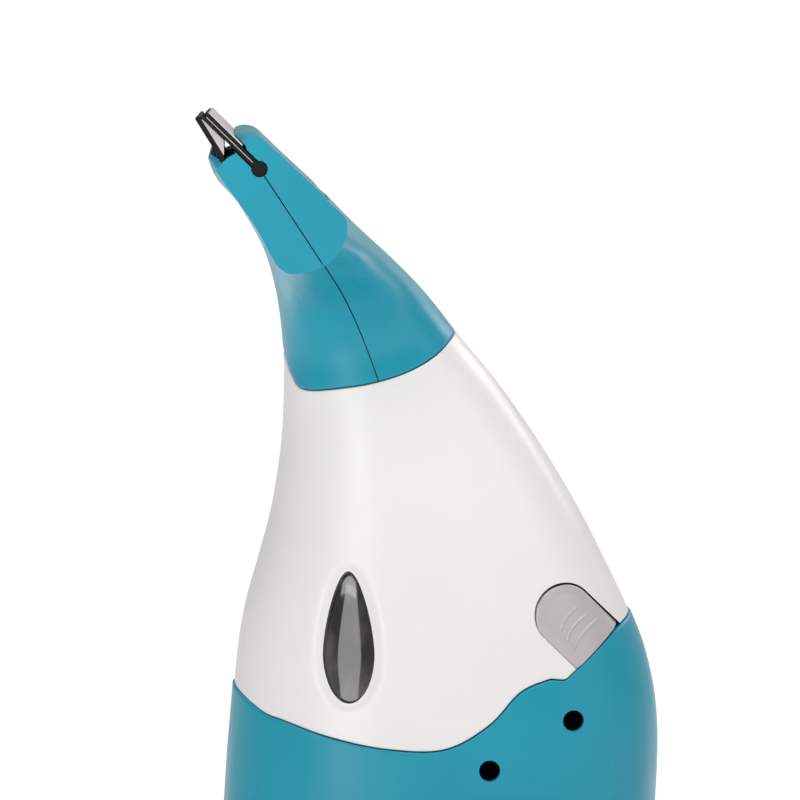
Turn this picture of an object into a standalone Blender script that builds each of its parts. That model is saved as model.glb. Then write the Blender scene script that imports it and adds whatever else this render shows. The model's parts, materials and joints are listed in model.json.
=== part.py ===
"""Handheld steamer with a squeegee head, built piece by piece.

Frame: the steamer stands on Z = 0 with the middle of its box on the Z axis.
-X is the front, which the head leans towards, +X is the handle, and -Y is the left side.
Sizes are written in millimetres and become metres through MM.
"""
import bpy
import bmesh
import math
from mathutils import Matrix, Vector

MM = 0.001

# ---------------------------------------------------------------- driving dimensions
GAP = 0.3                    # clearance between neighbouring pieces
WALL = 2.4                   # wall of the moulded shells
TEAL_PROUD = 0.6             # how far the lower shells stand out from the upper ones
RING_POINTS = 32             # points round one section of the casing
SECTION_POWER = 2.7          # 2 is an ellipse, more makes the flanks flatter
HALF_SPACE = 60.0            # reach of a tool past the casing, across Y
CAVITY_FLOOR = 5.0           # height of the inside of the bottom wall

# Sections of the casing from the floor to the head:
# front x and z, rear x and z, half width across Y.
SECTIONS = [
    (-47.0, 2.0, 43.5, 2.0, 37.0),
    (-50.8, 3.2, 47.2, 3.2, 40.4),
    (-52.2, 7.0, 48.6, 7.0, 41.6),
    (-54.6, 22.0, 51.0, 22.0, 42.6),
    (-58.6, 60.0, 57.3, 60.0, 44.4),
    (-59.2, 100.0, 63.6, 100.0, 45.6),
    (-57.4, 135.0, 66.4, 135.0, 45.9),
    (-55.8, 155.0, 66.2, 155.0, 45.3),
    (-54.4, 171.0, 63.1, 171.0, 43.9),
    (-52.1, 184.5, 57.9, 184.5, 42.2),
    (-48.3, 198.0, 51.4, 198.0, 40.1),
    (-44.5, 212.5, 44.0, 212.5, 37.5),
    (-41.7, 231.0, 32.9, 231.0, 34.2),
    (-40.9, 247.0, 20.7, 248.5, 31.2),
    (-41.1, 258.0, 9.6, 262.0, 30.0),
    (-42.4, 270.5, -0.4, 274.6, 37.0),
    (-44.5, 280.5, -9.8, 284.2, 58.0),
    (-47.0, 287.8, -17.0, 290.8, 82.0),
    (-50.4, 294.4, -23.0, 296.6, 96.0),
    (-54.0, 300.4, -28.2, 302.0, 99.0),
]
FIRST_NECK_SECTION = 12      # the nozzle's loft starts at this section

# Seam between the white upper shells and the teal lower shells, front to rear (x, z).
LOWER_SEAM = [(-56.3, 162.0), (-47.6, 156.1), (-41.2, 154.1), (-28.0, 150.0), (-12.0, 147.0),
              (4.0, 147.0), (16.5, 153.8), (25.3, 162.9), (34.0, 166.5)]
LOWER_SEAM_REAR = [(38.4, 166.0), (53.9, 179.5), (58.4, 182.3), (75.0, 193.5)]
# Seam between the white shells and the nozzle, front to rear (x, z).
NECK_SEAM = [(-41.1, 257.8), (-39.2, 251.6), (-35.6, 247.5), (-24.0, 248.4), (-14.4, 250.2),
             (-5.4, 253.2), (2.5, 257.7), (8.4, 263.4)]

# Head bar: its outline at the two flat cheeks and, bowed forwards, in between (x, z, x, z).
HEAD_HALF_LENGTH = 105.0
HEAD_OUTLINE = [
    (-59.9, 311.0, -60.8, 310.4), (-58.3, 308.5, -58.9, 307.6), (-55.2, 304.3, -55.4, 303.9),
    (-51.1, 298.5, -51.1, 298.5), (-48.5, 294.4, -48.5, 294.4), (-45.6, 288.9, -45.6, 288.9),
    (-43.8, 285.9, -43.8, 285.9), (-41.4, 283.9, -41.4, 283.9), (-38.6, 283.5, -38.6, 283.5),
    (-34.9, 284.0, -34.9, 284.0), (-31.0, 285.5, -31.0, 285.5), (-28.4, 287.7, -28.4, 287.7),
    (-26.0, 291.2, -26.0, 291.2), (-24.9, 294.9, -24.9, 294.9), (-25.6, 298.7, -25.6, 298.7),
    (-30.1, 303.0, -30.1, 303.0), (-31.1, 304.5, -31.1, 304.5), (-40.6, 313.3, -40.6, 313.4),
    (-45.8, 318.1, -45.9, 318.5), (-48.0, 320.0, -48.6, 320.9), (-50.0, 320.7, -51.2, 321.7),
    (-51.9, 320.1, -53.2, 321.6), (-52.9, 319.0, -54.7, 321.0), (-54.0, 317.3, -55.6, 319.5),
    (-55.0, 315.8, -55.6, 315.4), (-56.6, 314.9, -59.6, 314.6), (-58.2, 313.6, -61.6, 315.6),
    (-59.4, 312.2, -62.2, 314.4),
]
# Distance from the middle, growth of the outline, and share of the bow, from a cheek inwards.
HEAD_STATIONS = [(105.0, -0.4, 0.0), (104.6, 0.0, 0.0), (100.5, 0.0, 0.35), (96.5, 0.0, 0.8),
                 (92.0, 0.0, 1.0)]
HEAD_CAVITY = [(-42.3, 290.0), (-53.2, 306.6), (-46.5, 306.9), (-43.0, 310.3), (-42.8, 313.2),
               (-31.6, 302.4), (-27.6, 297.0), (-27.6, 291.6), (-31.0, 287.6), (-37.6, 285.9)]
HEAD_END_WALL = 2.6

# Squeegee blade: a bulb with two thin leaves, held in a keyhole slot between the nozzle halves.
BULB = Vector((-48.4, 311.7))
BULB_RADIUS = 2.1
BLADE_TIP = Vector((-63.2, 326.2))
LEAF = 0.85
LEAF_SLIT = 0.3
BLADE_HALF_LENGTH = 104.7
STRIP_THICKNESS = 0.7
STRIP_START = 7.6
STRIP_SHORT_OF_TIP = 0.4
SLOT_MOUTH = 11.0

# Front lip: a thin strip in a groove in front of the steam mouth.
LIP_ROOT = Vector((-56.4, 311.4))
LIP_TIP = Vector((-65.3, 325.7))
LIP_THICKNESS = 1.3
LIP_HALF_LENGTH = 103.2
LIP_PAD_THICKNESS = 0.5
LIP_PAD_START = 4.2
LIP_PAD_SHORT_OF_TIP = 2.4

# Joint line of the nozzle halves, from the bulb down to the neck.
PARTING = [(-48.4, 311.7), (-41.6, 301.5), (-31.1, 285.5), (-24.5, 274.7), (-19.2, 263.3),
           (-14.7, 251.2), (-12.6, 244.0)]

JOINT_FOOT_Z = 250.6          # where the joint line meets the seam with the white shells

OUTLET_COUNT = 9
OUTLET_LENGTH = 13.0
OUTLET_PITCH = 20.0
OUTLET_LINE = [Vector((-52.6, 305.0)), Vector((-56.1, 317.0))]
OUTLET_WIDTH = 1.2

# Finger opening between the casing and the handle (x, z), and its corner radius.
OPENING = [(0.0, 44.0), (31.0, 44.0), (39.0, 130.0), (7.0, 130.0)]
OPENING_RADIUS = 10.0

# Level windows, one on each side: a teardrop, pointed at the top.
WINDOW_CENTRE = Vector((-23.1, 174.0))
WINDOW_RADIUS = 7.0
WINDOW_TOP = 196.5
WINDOW_BOTTOM = 160.0
LENS_DEPTH = 3.4

# Release buttons: a round free end and a straight tail that ends at the lower seam.
BUTTON_CENTRE = Vector((38.3, 184.3))
BUTTON_RADIUS = 8.4
BUTTON_DIRECTION = Vector((0.716, -0.698))
BUTTON_TAIL = 13.0
BUTTON_SLOT = 0.7
BUTTON_DEPTH = 3.4
BUTTON_LIFT_DEG = 3.0
BUTTON_AXIS_INSET = 2.4
BUTTON_AXIS_Y = 31.0
BUTTON_INNER_Y = 23.5
POCKET_INNER_Y = 22.2

# Steam trigger in the front wall of the handle (x, z).
TRIGGER = [(42.6, 127.5), (48.5, 127.5), (48.5, 121.0), (44.6, 117.0), (42.6, 91.0), (38.6, 90.2),
           (33.0, 93.5), (30.6, 103.0), (31.8, 113.0), (36.2, 120.5), (39.6, 122.6)]
TRIGGER_HALF_WIDTH = 8.0
TRIGGER_PIVOT = Vector((45.5, 124.2))
TRIGGER_PIN_RADIUS = 1.5

# Filler cap and the tank's neck, on a level axis that points forward.
FILLER_HEIGHT = 112.0
FILLER_NECK_RADIUS = 11.5
FILLER_BORE = 9.6
CAP_RADIUS = 14.0

TANK_OFFSET = -4.4
TANK_WALL = 1.8
TANK_REAR = -4.0
TANK_BOTTOM = 98.0
TANK_TOP = 214.0

# Screws through the lower shells (x, z), all driven from the left.
SCREWS = {"handle_top": (40.4, 154.6), "handle_low": (43.5, 30.5), "base_front": (-43.5, 24.0),
          "base_middle": (18.0, 27.0), "bridge": (16.5, 141.0)}
BOSS_RADIUS = 4.6
SCREW_HEAD_RADIUS = 2.7
SCREW_RADIUS = 1.4
SCREW_HEAD_Y = -16.0
SCREW_END_Y = 13.0

FEET = {"front_left": (-35.0, -23.0), "front_right": (-35.0, 23.0),
        "rear_left": (31.0, -23.0), "rear_right": (31.0, 23.0)}
FOOT_RADIUS = 6.5
FOOT_HEIGHT = 3.2

GLAND_HEIGHT = 16.0

SIDES = {"left": -1, "right": 1}

# ---------------------------------------------------------------- scene and materials
for old in list(bpy.data.objects):
    bpy.data.objects.remove(old, do_unlink=True)


def new_collection(name):
    made = bpy.data.collections.new(name)
    bpy.context.scene.collection.children.link(made)
    return made


PARTS = new_collection("handheld_steamer")
CUTTERS = new_collection("cutters")


def material(name, colour, roughness, metallic=0.0):
    made = bpy.data.materials.new(name)
    made.use_nodes = True
    shader = made.node_tree.nodes["Principled BSDF"]
    shader.inputs["Base Color"].default_value = (*colour, 1.0)
    shader.inputs["Roughness"].default_value = roughness
    shader.inputs["Metallic"].default_value = metallic
    return made


TEAL = material("teal_plastic", (0.02, 0.34, 0.47), 0.35)
WHITE = material("white_gloss_plastic", (0.80, 0.79, 0.79), 0.2)
GREY = material("grey_plastic", (0.55, 0.55, 0.56), 0.4)
BLACK = material("black_rubber", (0.015, 0.013, 0.013), 0.6)
PALE = material("pale_strip", (0.70, 0.68, 0.67), 0.5)
SMOKED = material("smoked_window", (0.03, 0.03, 0.03), 0.1)
TANK_PLASTIC = material("tank_plastic", (0.65, 0.70, 0.72), 0.3)
ALUMINIUM = material("aluminium", (0.60, 0.60, 0.61), 0.4, 1.0)
STEEL = material("steel", (0.55, 0.55, 0.56), 0.3, 1.0)
SILICONE = material("silicone", (0.75, 0.30, 0.12), 0.6)
BOARD = material("circuit_board", (0.02, 0.20, 0.07), 0.5)
DARK = material("dark_plastic", (0.05, 0.05, 0.055), 0.5)


# ---------------------------------------------------------------- modelling helpers
def add_object(name, data, surface=None, place=Vector((0.0, 0.0, 0.0))):
    """Put data in the scene: a piece with a material, or a cutter without one."""
    made = bpy.data.objects.new(name, data)
    made.location = place * MM
    if surface is None:
        CUTTERS.objects.link(made)
        made.hide_render = True
        made.display_type = "WIRE"
    else:
        PARTS.objects.link(made)
        data.materials.clear()
        data.materials.append(surface)
    return made


def mesh_from(name, shape):
    """Close a bmesh in millimetres and turn it into a mesh in metres."""
    bmesh.ops.recalc_face_normals(shape, faces=shape.faces)
    bmesh.ops.scale(shape, vec=(MM, MM, MM), verts=shape.verts)
    mesh = bpy.data.meshes.new(name)
    shape.to_mesh(mesh)
    shape.free()
    return mesh


def curve_to_mesh(name, curve, turn=Matrix.Identity(4)):
    """Make a curve a welded mesh, turned into place."""
    temporary = bpy.data.objects.new(name, curve)
    CUTTERS.objects.link(temporary)
    bpy.context.view_layer.update()
    evaluated = temporary.evaluated_get(bpy.context.evaluated_depsgraph_get())
    mesh = bpy.data.meshes.new_from_object(evaluated)
    bpy.data.objects.remove(temporary, do_unlink=True)
    shape = bmesh.new()
    shape.from_mesh(mesh)
    bpy.data.meshes.remove(mesh)
    bmesh.ops.remove_doubles(shape, verts=shape.verts, dist=1e-6)
    bmesh.ops.transform(shape, matrix=turn, verts=shape.verts)
    bmesh.ops.scale(shape, vec=(1 / MM, 1 / MM, 1 / MM), verts=shape.verts)
    return mesh_from(name, shape)


def plate_mesh(name, outline, y_from, y_to, edge=0.0):
    """A flat outline in X and Z, as thick as y_from to y_to, with rounded edges if asked."""
    curve = bpy.data.curves.new(name, "CURVE")
    curve.dimensions = "2D"
    curve.fill_mode = "BOTH"
    curve.extrude = ((y_to - y_from) / 2 - edge) * MM
    curve.bevel_depth = edge * MM
    curve.bevel_resolution = 1
    spline = curve.splines.new("POLY")
    spline.points.add(len(outline) - 1)
    for point, (x, z) in zip(spline.points, outline):
        point.co = (x * MM, z * MM, 0.0, 1.0)
    spline.use_cyclic_u = True
    stand_up = Matrix.Rotation(math.radians(90), 4, "X")
    shift = Matrix.Translation((0.0, (y_from + y_to) / 2 * MM, 0.0))
    return curve_to_mesh(name, curve, shift @ stand_up)


def tube_mesh(name, points, radius, sides=2):
    """A round tube along points, closed at both ends."""
    curve = bpy.data.curves.new(name, "CURVE")
    curve.dimensions = "3D"
    curve.bevel_depth = radius * MM
    curve.bevel_resolution = sides
    curve.use_fill_caps = True
    spline = curve.splines.new("POLY")
    spline.points.add(len(points) - 1)
    for point, place in zip(spline.points, points):
        point.co = (*(Vector(place) * MM), 1.0)
    return curve_to_mesh(name, curve)


def box_mesh(name, low, high, edge=0.0):
    shape = bmesh.new()
    bmesh.ops.create_cube(shape, size=1.0)
    size = Vector(high) - Vector(low)
    bmesh.ops.scale(shape, vec=size, verts=shape.verts)
    bmesh.ops.translate(shape, vec=(Vector(low) + Vector(high)) / 2, verts=shape.verts)
    if edge > 0:
        bmesh.ops.bevel(shape, geom=shape.edges[:], offset=edge, segments=2, affect="EDGES")
    return mesh_from(name, shape)


AXIS_TURN = {"X": Matrix.Rotation(math.radians(90), 4, "Y"),
             "Y": Matrix.Rotation(math.radians(-90), 4, "X"),
             "Z": Matrix.Identity(4)}


def add_rod(shape, axis, start, end, radius, sides=24):
    """Add a cylinder from start to end, which lie along the named axis."""
    start = Vector(start)
    end = Vector(end)
    turn = Matrix.Translation((start + end) / 2) @ AXIS_TURN[axis]
    bmesh.ops.create_cone(shape, cap_ends=True, segments=sides, radius1=radius, radius2=radius,
                          depth=(end - start).length, matrix=turn)


def rods_mesh(name, rods, sides=24):
    """One mesh of separate cylinders, each (axis, start, end, radius)."""
    shape = bmesh.new()
    for axis, start, end, radius in rods:
        add_rod(shape, axis, start, end, radius, sides)
    return mesh_from(name, shape)


def turned(name, profile, surface, axis, place, steps=32):
    """A turned piece: profile (radius, height) runs down its outer side, top to bottom."""
    shape = bmesh.new()
    corners = [shape.verts.new((radius * MM, 0.0, height * MM)) for radius, height in profile]
    for upper, lower in zip(corners, corners[1:]):
        shape.edges.new((upper, lower))
    if profile[0][0] > 0:
        shape.edges.new((corners[-1], corners[0]))
    mesh = bpy.data.meshes.new(name)
    shape.to_mesh(mesh)
    shape.free()
    made = add_object(name, mesh, surface, Vector(place))
    made.matrix_world = Matrix.Translation(Vector(place) * MM) @ AXIS_TURN[axis]
    screw = made.modifiers.new("turn", "SCREW")
    screw.steps = steps
    screw.render_steps = steps
    screw.use_merge_vertices = True
    screw.merge_threshold = 0.00001
    return made


def boolean(target, operation, tool):
    cut = target.modifiers.new(tool.name, "BOOLEAN")
    cut.operation = operation
    cut.object = tool
    return cut


def smooth_line(points, steps):
    """Points on a Catmull-Rom curve through the given ones, ends kept."""
    line = []
    last = len(points) - 1
    for index in range(last):
        before = points[max(index - 1, 0)]
        start = points[index]
        end = points[index + 1]
        after = points[min(index + 2, last)]
        for step in range(steps):
            t = step / steps
            line.append(tuple(
                0.5 * (2 * b + (c - a) * t + (2 * a - 5 * b + 4 * c - d) * t ** 2
                       + (3 * b - a - 3 * c + d) * t ** 3)
                for a, b, c, d in zip(before, start, end, after)))
    line.append(tuple(points[-1]))
    return line


def offset_line(points, distance):
    """Move an open line sideways, to the left of its direction for a positive distance."""
    moved = []
    for index, (x, z) in enumerate(points):
        back = Vector(points[max(index - 1, 0)])
        ahead = Vector(points[min(index + 1, len(points) - 1)])
        along = (ahead - back).normalized()
        moved.append((x - along.y * distance, z + along.x * distance))
    return moved


def arc(centre, radius, start_deg, end_deg, steps):
    """Points on an arc in X and Z, from one angle to another."""
    points = []
    for step in range(steps + 1):
        angle = math.radians(start_deg + (end_deg - start_deg) * step / steps)
        points.append((centre[0] + radius * math.cos(angle), centre[1] + radius * math.sin(angle)))
    return points


def rounded(corners, radius, steps=4):
    """A closed outline with each corner replaced by a short curve."""
    outline = []
    count = len(corners)
    for index in range(count):
        here = Vector(corners[index])
        before = Vector(corners[index - 1])
        after = Vector(corners[(index + 1) % count])
        start = here + (before - here).normalized() * radius
        end = here + (after - here).normalized() * radius
        for step in range(steps + 1):
            t = step / steps
            outline.append(tuple((1 - t) ** 2 * start + 2 * t * (1 - t) * here + t ** 2 * end))
    return outline


# ---------------------------------------------------------------- the casing's form
def section_ring(section, reach, width_reach):
    """The points round one section, moved outwards by reach in X-Z and width_reach in Y."""
    front = Vector((section[0], 0.0, section[1]))
    rear = Vector((section[2], 0.0, section[3]))
    centre = (front + rear) / 2
    half = rear - centre
    half = half.normalized() * (half.length + reach)
    width = section[4] + width_reach
    ring = []
    for index in range(RING_POINTS):
        angle = 2 * math.pi * index / RING_POINTS
        along = math.copysign(abs(math.cos(angle)) ** (2 / SECTION_POWER), math.cos(angle))
        across = math.copysign(abs(math.sin(angle)) ** (2 / SECTION_POWER), math.sin(angle))
        ring.append(centre + half * along + Vector((0.0, width * across, 0.0)))
    return ring


def casing_mesh(name, offset, first=0, detail=2):
    """The casing's solid form, grown or shrunk by offset, from one of its sections upwards."""
    sections = SECTIONS[first:]
    if offset < 0 and first == 0:
        floor = list(SECTIONS[3])
        floor[1] = CAVITY_FLOOR
        floor[3] = CAVITY_FLOOR
        sections = [tuple(floor)] + SECTIONS[3:]
    sections = smooth_line(sections, detail)
    rings = []
    for index, section in enumerate(sections):
        below = sections[max(index - 1, 0)]
        above = sections[min(index + 1, len(sections) - 1)]
        rise = math.hypot((above[0] + above[2] - below[0] - below[2]) / 2,
                          (above[1] + above[3] - below[1] - below[3]) / 2)
        slope = (above[4] - below[4]) / rise
        stretch = math.hypot(1.0, slope) if offset < 0 else 1.0
        rings.append(section_ring(section, offset, offset * stretch))
    shape = bmesh.new()
    loops = [[shape.verts.new(point) for point in ring] for ring in rings]
    for lower, upper in zip(loops, loops[1:]):
        for index in range(RING_POINTS):
            following = (index + 1) % RING_POINTS
            shape.faces.new((lower[index], lower[following], upper[following], upper[index]))
    shape.faces.new(loops[0])
    shape.faces.new(loops[-1])
    return mesh_from(name, shape)


def casing_tool(name, offset, first=0, detail=2):
    return add_object(name, casing_mesh(name, offset, first, detail))


def side_range(side):
    """The Y range of one half of the casing, short of the middle plane by half the gap."""
    return sorted((side * GAP / 2, side * HALF_SPACE))


seam_front = smooth_line(LOWER_SEAM, 2)
lower_seam = [(-75.0, 175.0)] + seam_front + LOWER_SEAM_REAR
neck_seam = [(-75.0, 262.0), (-44.0, 262.0)] + smooth_line(NECK_SEAM, 2) + [(40.0, 294.0)]
inner_form = casing_tool("inner_form", -WALL)

# ---------------------------------------------------------------- nozzle: two halves of the head
blade_along = (BLADE_TIP - BULB).normalized()
blade_across = Vector((-blade_along.y, blade_along.x))
if blade_across.y < 0:
    blade_across = -blade_across


def blade_point(along, across):
    """A point of the blade's own frame: along from the bulb, across towards its upper face."""
    return tuple(BULB + blade_along * along + blade_across * across)


def nozzle_regions():
    """Outlines of the front and rear halves, split along the blade and the joint line."""
    joint = smooth_line(PARTING, 2)
    beyond = tuple(BULB + blade_along * 60.0)
    split = [beyond] + joint
    seam = offset_line(neck_seam, GAP / 2)
    front_split = offset_line(split, -GAP / 2)
    rear_split = offset_line(split, GAP / 2)
    cut_x = split[-1][0]
    foot_x = PARTING[-2][0]
    front_seam = [point for point in seam if point[0] < cut_x - 2.5]
    rear_seam = [point for point in seam if point[0] > cut_x + 0.5]
    front_low = [point for point in front_split if point[1] > JOINT_FOOT_Z - 0.2]
    rear_low = [point for point in rear_split if point[1] > JOINT_FOOT_Z + 0.4]
    front_foot = (foot_x - 0.2, JOINT_FOOT_Z)
    rear_foot = (foot_x + 0.4, JOINT_FOOT_Z + 0.1)
    front = [(-100.0, 262.3)] + front_seam + [front_foot] + front_low[::-1] + [(-100.0, 345.0)]
    rear = rear_low[::-1] + [(60.0, 360.0), (60.0, 310.0)] + rear_seam[::-1] + [rear_foot]
    return front, rear


def head_bar_mesh(name):
    """The head bar, lofted along Y from cheek to cheek through its stations."""
    stations = [(-distance, growth, bow) for distance, growth, bow in HEAD_STATIONS]
    stations += HEAD_STATIONS[::-1]
    count = len(HEAD_OUTLINE)
    shape = bmesh.new()
    loops = []
    for y, growth, bow in stations:
        ring = [Vector((x + (mid_x - x) * bow, z + (mid_z - z) * bow))
                for x, z, mid_x, mid_z in HEAD_OUTLINE]
        loop = []
        for index, point in enumerate(ring):
            along = (ring[(index + 1) % count] - ring[index - 1]).normalized()
            moved = point + Vector((-along.y, along.x)) * -growth
            loop.append(shape.verts.new((moved.x, y, moved.y)))
        loops.append(loop)
    for near, far in zip(loops, loops[1:]):
        for index in range(count):
            following = (index + 1) % count
            shape.faces.new((near[index], near[following], far[following], far[index]))
    shape.faces.new(loops[0])
    shape.faces.new(loops[-1])
    return mesh_from(name, shape)


def make_nozzle():
    reach = HEAD_HALF_LENGTH + 5.0
    funnel = casing_tool("funnel_form", 0.0, FIRST_NECK_SECTION)
    funnel_inside = casing_tool("funnel_inside", -WALL, FIRST_NECK_SECTION)
    inside_reach = HEAD_HALF_LENGTH - HEAD_END_WALL
    cavity = add_object("head_cavity", plate_mesh(
        "head_cavity", HEAD_CAVITY, -inside_reach, inside_reach))
    half = LEAF + LEAF_SLIT / 2 + GAP
    above_strip = half + STRIP_THICKNESS + GAP
    slot = [blade_point(0.0, -half), blade_point(SLOT_MOUTH, -half), blade_point(30.0, -half),
            blade_point(30.0, above_strip), blade_point(STRIP_START - 0.5, above_strip),
            blade_point(STRIP_START - 1.5, half), blade_point(0.0, half)]
    slot_cut = add_object("blade_slot", plate_mesh("blade_slot", slot, -reach, reach))
    bulb_hole = add_object("bulb_hole", rods_mesh("bulb_hole", [
        ("Y", (BULB.x, -reach, BULB.y), (BULB.x, reach, BULB.y), BULB_RADIUS + GAP)]))
    lip_along = (LIP_TIP - LIP_ROOT).normalized()
    lip_across = Vector((-lip_along.y, lip_along.x)) * (LIP_THICKNESS / 2 + GAP)
    groove_end = LIP_ROOT - lip_along * GAP
    groove = [tuple(groove_end - lip_across), tuple(groove_end + lip_across),
              tuple(groove_end + lip_across + lip_along * 9.0),
              tuple(groove_end - lip_across + lip_along * 9.0)]
    groove_reach = LIP_HALF_LENGTH + GAP
    lip_groove = add_object("lip_groove", plate_mesh(
        "lip_groove", groove, -groove_reach, groove_reach))
    outlets = add_object("outlet_cutter", outlets_mesh())
    regions = nozzle_regions()
    for name, outline in zip(("nozzle_front_shell", "nozzle_rear_shell"), regions):
        shell = add_object(name, head_bar_mesh(name), TEAL)
        boolean(shell, "UNION", funnel)
        region = add_object(name + "_region", plate_mesh(
            name + "_region", outline, -reach, reach))
        boolean(shell, "DIFFERENCE", cavity)
        boolean(shell, "DIFFERENCE", funnel_inside)
        boolean(shell, "DIFFERENCE", slot_cut)
        boolean(shell, "DIFFERENCE", bulb_hole)
        if name == "nozzle_front_shell":
            boolean(shell, "DIFFERENCE", lip_groove)
            boolean(shell, "DIFFERENCE", outlets)
        boolean(shell, "INTERSECT", region)


def outlets_mesh():
    """Steam slots from the head's chamber to the mouth between the lip and the blade."""
    along = (OUTLET_LINE[1] - OUTLET_LINE[0]).normalized()
    across = Vector((-along.y, along.x)) * OUTLET_WIDTH / 2
    shape = bmesh.new()
    for index in range(OUTLET_COUNT):
        middle = (index - (OUTLET_COUNT - 1) / 2) * OUTLET_PITCH
        corners = []
        for end, edge in ((0, -1), (0, 1), (1, 1), (1, -1)):
            corners.append(OUTLET_LINE[end] + across * edge)
        near = [shape.verts.new((c.x, middle - OUTLET_LENGTH / 2, c.y)) for c in corners]
        far = [shape.verts.new((c.x, middle + OUTLET_LENGTH / 2, c.y)) for c in corners]
        shape.faces.new(near)
        shape.faces.new(far)
        for here in range(4):
            following = (here + 1) % 4
            shape.faces.new((near[here], near[following], far[following], far[here]))
    return mesh_from("outlet_cutter", shape)


def make_blade():
    length = (BLADE_TIP - BULB).length
    half = LEAF + LEAF_SLIT / 2
    neck_angle = math.degrees(math.asin(half / BULB_RADIUS))
    heading = math.degrees(math.atan2(blade_along.y, blade_along.x))
    turn = 1 if blade_across.dot(Vector((-blade_along.y, blade_along.x))) > 0 else -1
    bulb = arc(BULB, BULB_RADIUS, heading + turn * neck_angle, heading + turn * (360 - neck_angle), 16)
    outline = bulb + [blade_point(length, -half), blade_point(length, -LEAF_SLIT / 2),
                      blade_point(BULB_RADIUS + 1.0, -LEAF_SLIT / 2),
                      blade_point(BULB_RADIUS + 1.0, LEAF_SLIT / 2),
                      blade_point(length, LEAF_SLIT / 2), blade_point(length, half)]
    add_object("squeegee_blade", plate_mesh(
        "squeegee_blade", outline, -BLADE_HALF_LENGTH, BLADE_HALF_LENGTH), BLACK)
    low = half + GAP
    high = low + STRIP_THICKNESS
    end = length - STRIP_SHORT_OF_TIP
    strip = [blade_point(STRIP_START, low), blade_point(end, low), blade_point(end, high),
             blade_point(STRIP_START, high)]
    add_object("blade_backing_strip", plate_mesh(
        "blade_backing_strip", strip, -BLADE_HALF_LENGTH, BLADE_HALF_LENGTH), PALE)


def make_lip():
    along = (LIP_TIP - LIP_ROOT).normalized()
    across = Vector((along.y, -along.x))
    half = LIP_THICKNESS / 2

    def at(distance, side):
        return tuple(LIP_ROOT + along * distance + across * side)

    length = (LIP_TIP - LIP_ROOT).length
    heading = math.degrees(math.atan2(across.y, across.x))
    tip = arc(LIP_TIP - along * half, half, heading, heading + 180, 6)
    outline = [at(0.0, -half), at(0.0, half)] + tip
    add_object("front_lip", plate_mesh(
        "front_lip", outline, -LIP_HALF_LENGTH, LIP_HALF_LENGTH), BLACK)
    low = half + GAP / 2
    high = low + LIP_PAD_THICKNESS
    end = length - LIP_PAD_SHORT_OF_TIP
    pad = [at(LIP_PAD_START, low), at(LIP_PAD_START, high), at(end - 0.4, high), at(end, low)]
    add_object("front_lip_pad", plate_mesh(
        "front_lip_pad", pad, -LIP_HALF_LENGTH, LIP_HALF_LENGTH), PALE)


# ---------------------------------------------------------------- upper shells and windows
def window_outline(grow):
    """Teardrop: an ellipse-like lower end that draws in to a small round top."""
    points = []
    steps = 28
    for index in range(steps):
        angle = 2 * math.pi * index / steps
        height = math.sin(angle)
        reach = (WINDOW_TOP - WINDOW_CENTRE.y) if height > 0 else (WINDOW_CENTRE.y - WINDOW_BOTTOM)
        narrowing = 1 - 0.28 * max(height, 0.0) ** 1.2
        x = WINDOW_CENTRE.x + (WINDOW_RADIUS * narrowing + grow) * math.cos(angle)
        points.append((x, WINDOW_CENTRE.y + (reach + grow) * height))
    return points


def button_outline(grow, tail):
    """Half circle at the free end and two straight sides down to the seam."""
    heading = math.degrees(math.atan2(BUTTON_DIRECTION.y, BUTTON_DIRECTION.x))
    radius = BUTTON_RADIUS + grow
    points = arc(BUTTON_CENTRE, radius, heading + 90, heading + 270, 12)
    end = BUTTON_CENTRE + BUTTON_DIRECTION * tail
    side = Vector((-BUTTON_DIRECTION.y, BUTTON_DIRECTION.x)) * radius
    return points + [tuple(end - side), tuple(end + side)]


def white_outline():
    return (offset_line(lower_seam, GAP / 2) + [(75.0, 290.0)]
            + offset_line(neck_seam, -GAP / 2)[::-1])


def make_upper_shell(side_name, side):
    low, high = side_range(side)
    name = f"body_{side_name}_shell"
    shell = add_object(name, casing_mesh(name, 0.0), WHITE)
    boolean(shell, "DIFFERENCE", inner_form)
    region = add_object(name + "_region", plate_mesh(name + "_region", white_outline(), low, high))
    boolean(shell, "INTERSECT", region)
    far_low, far_high = sorted((side * 20.0, side * HALF_SPACE))
    hole = add_object(name + "_window", plate_mesh(
        name + "_window", window_outline(GAP), far_low, far_high))
    boolean(shell, "DIFFERENCE", hole)
    pocket_low, pocket_high = sorted((side * POCKET_INNER_Y, side * HALF_SPACE))
    pocket = add_object(name + "_pocket", plate_mesh(
        name + "_pocket", button_outline(BUTTON_SLOT, BUTTON_TAIL + 8.0), pocket_low, pocket_high))
    boolean(shell, "DIFFERENCE", pocket)


def make_window(side_name, side, face_form, back_form):
    low, high = sorted((side * 20.0, side * HALF_SPACE))
    name = f"window_lens_{side_name}"
    lens = add_object(name, plate_mesh(name, window_outline(0.0), low, high), SMOKED)
    boolean(lens, "INTERSECT", face_form)
    boolean(lens, "DIFFERENCE", back_form)


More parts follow.
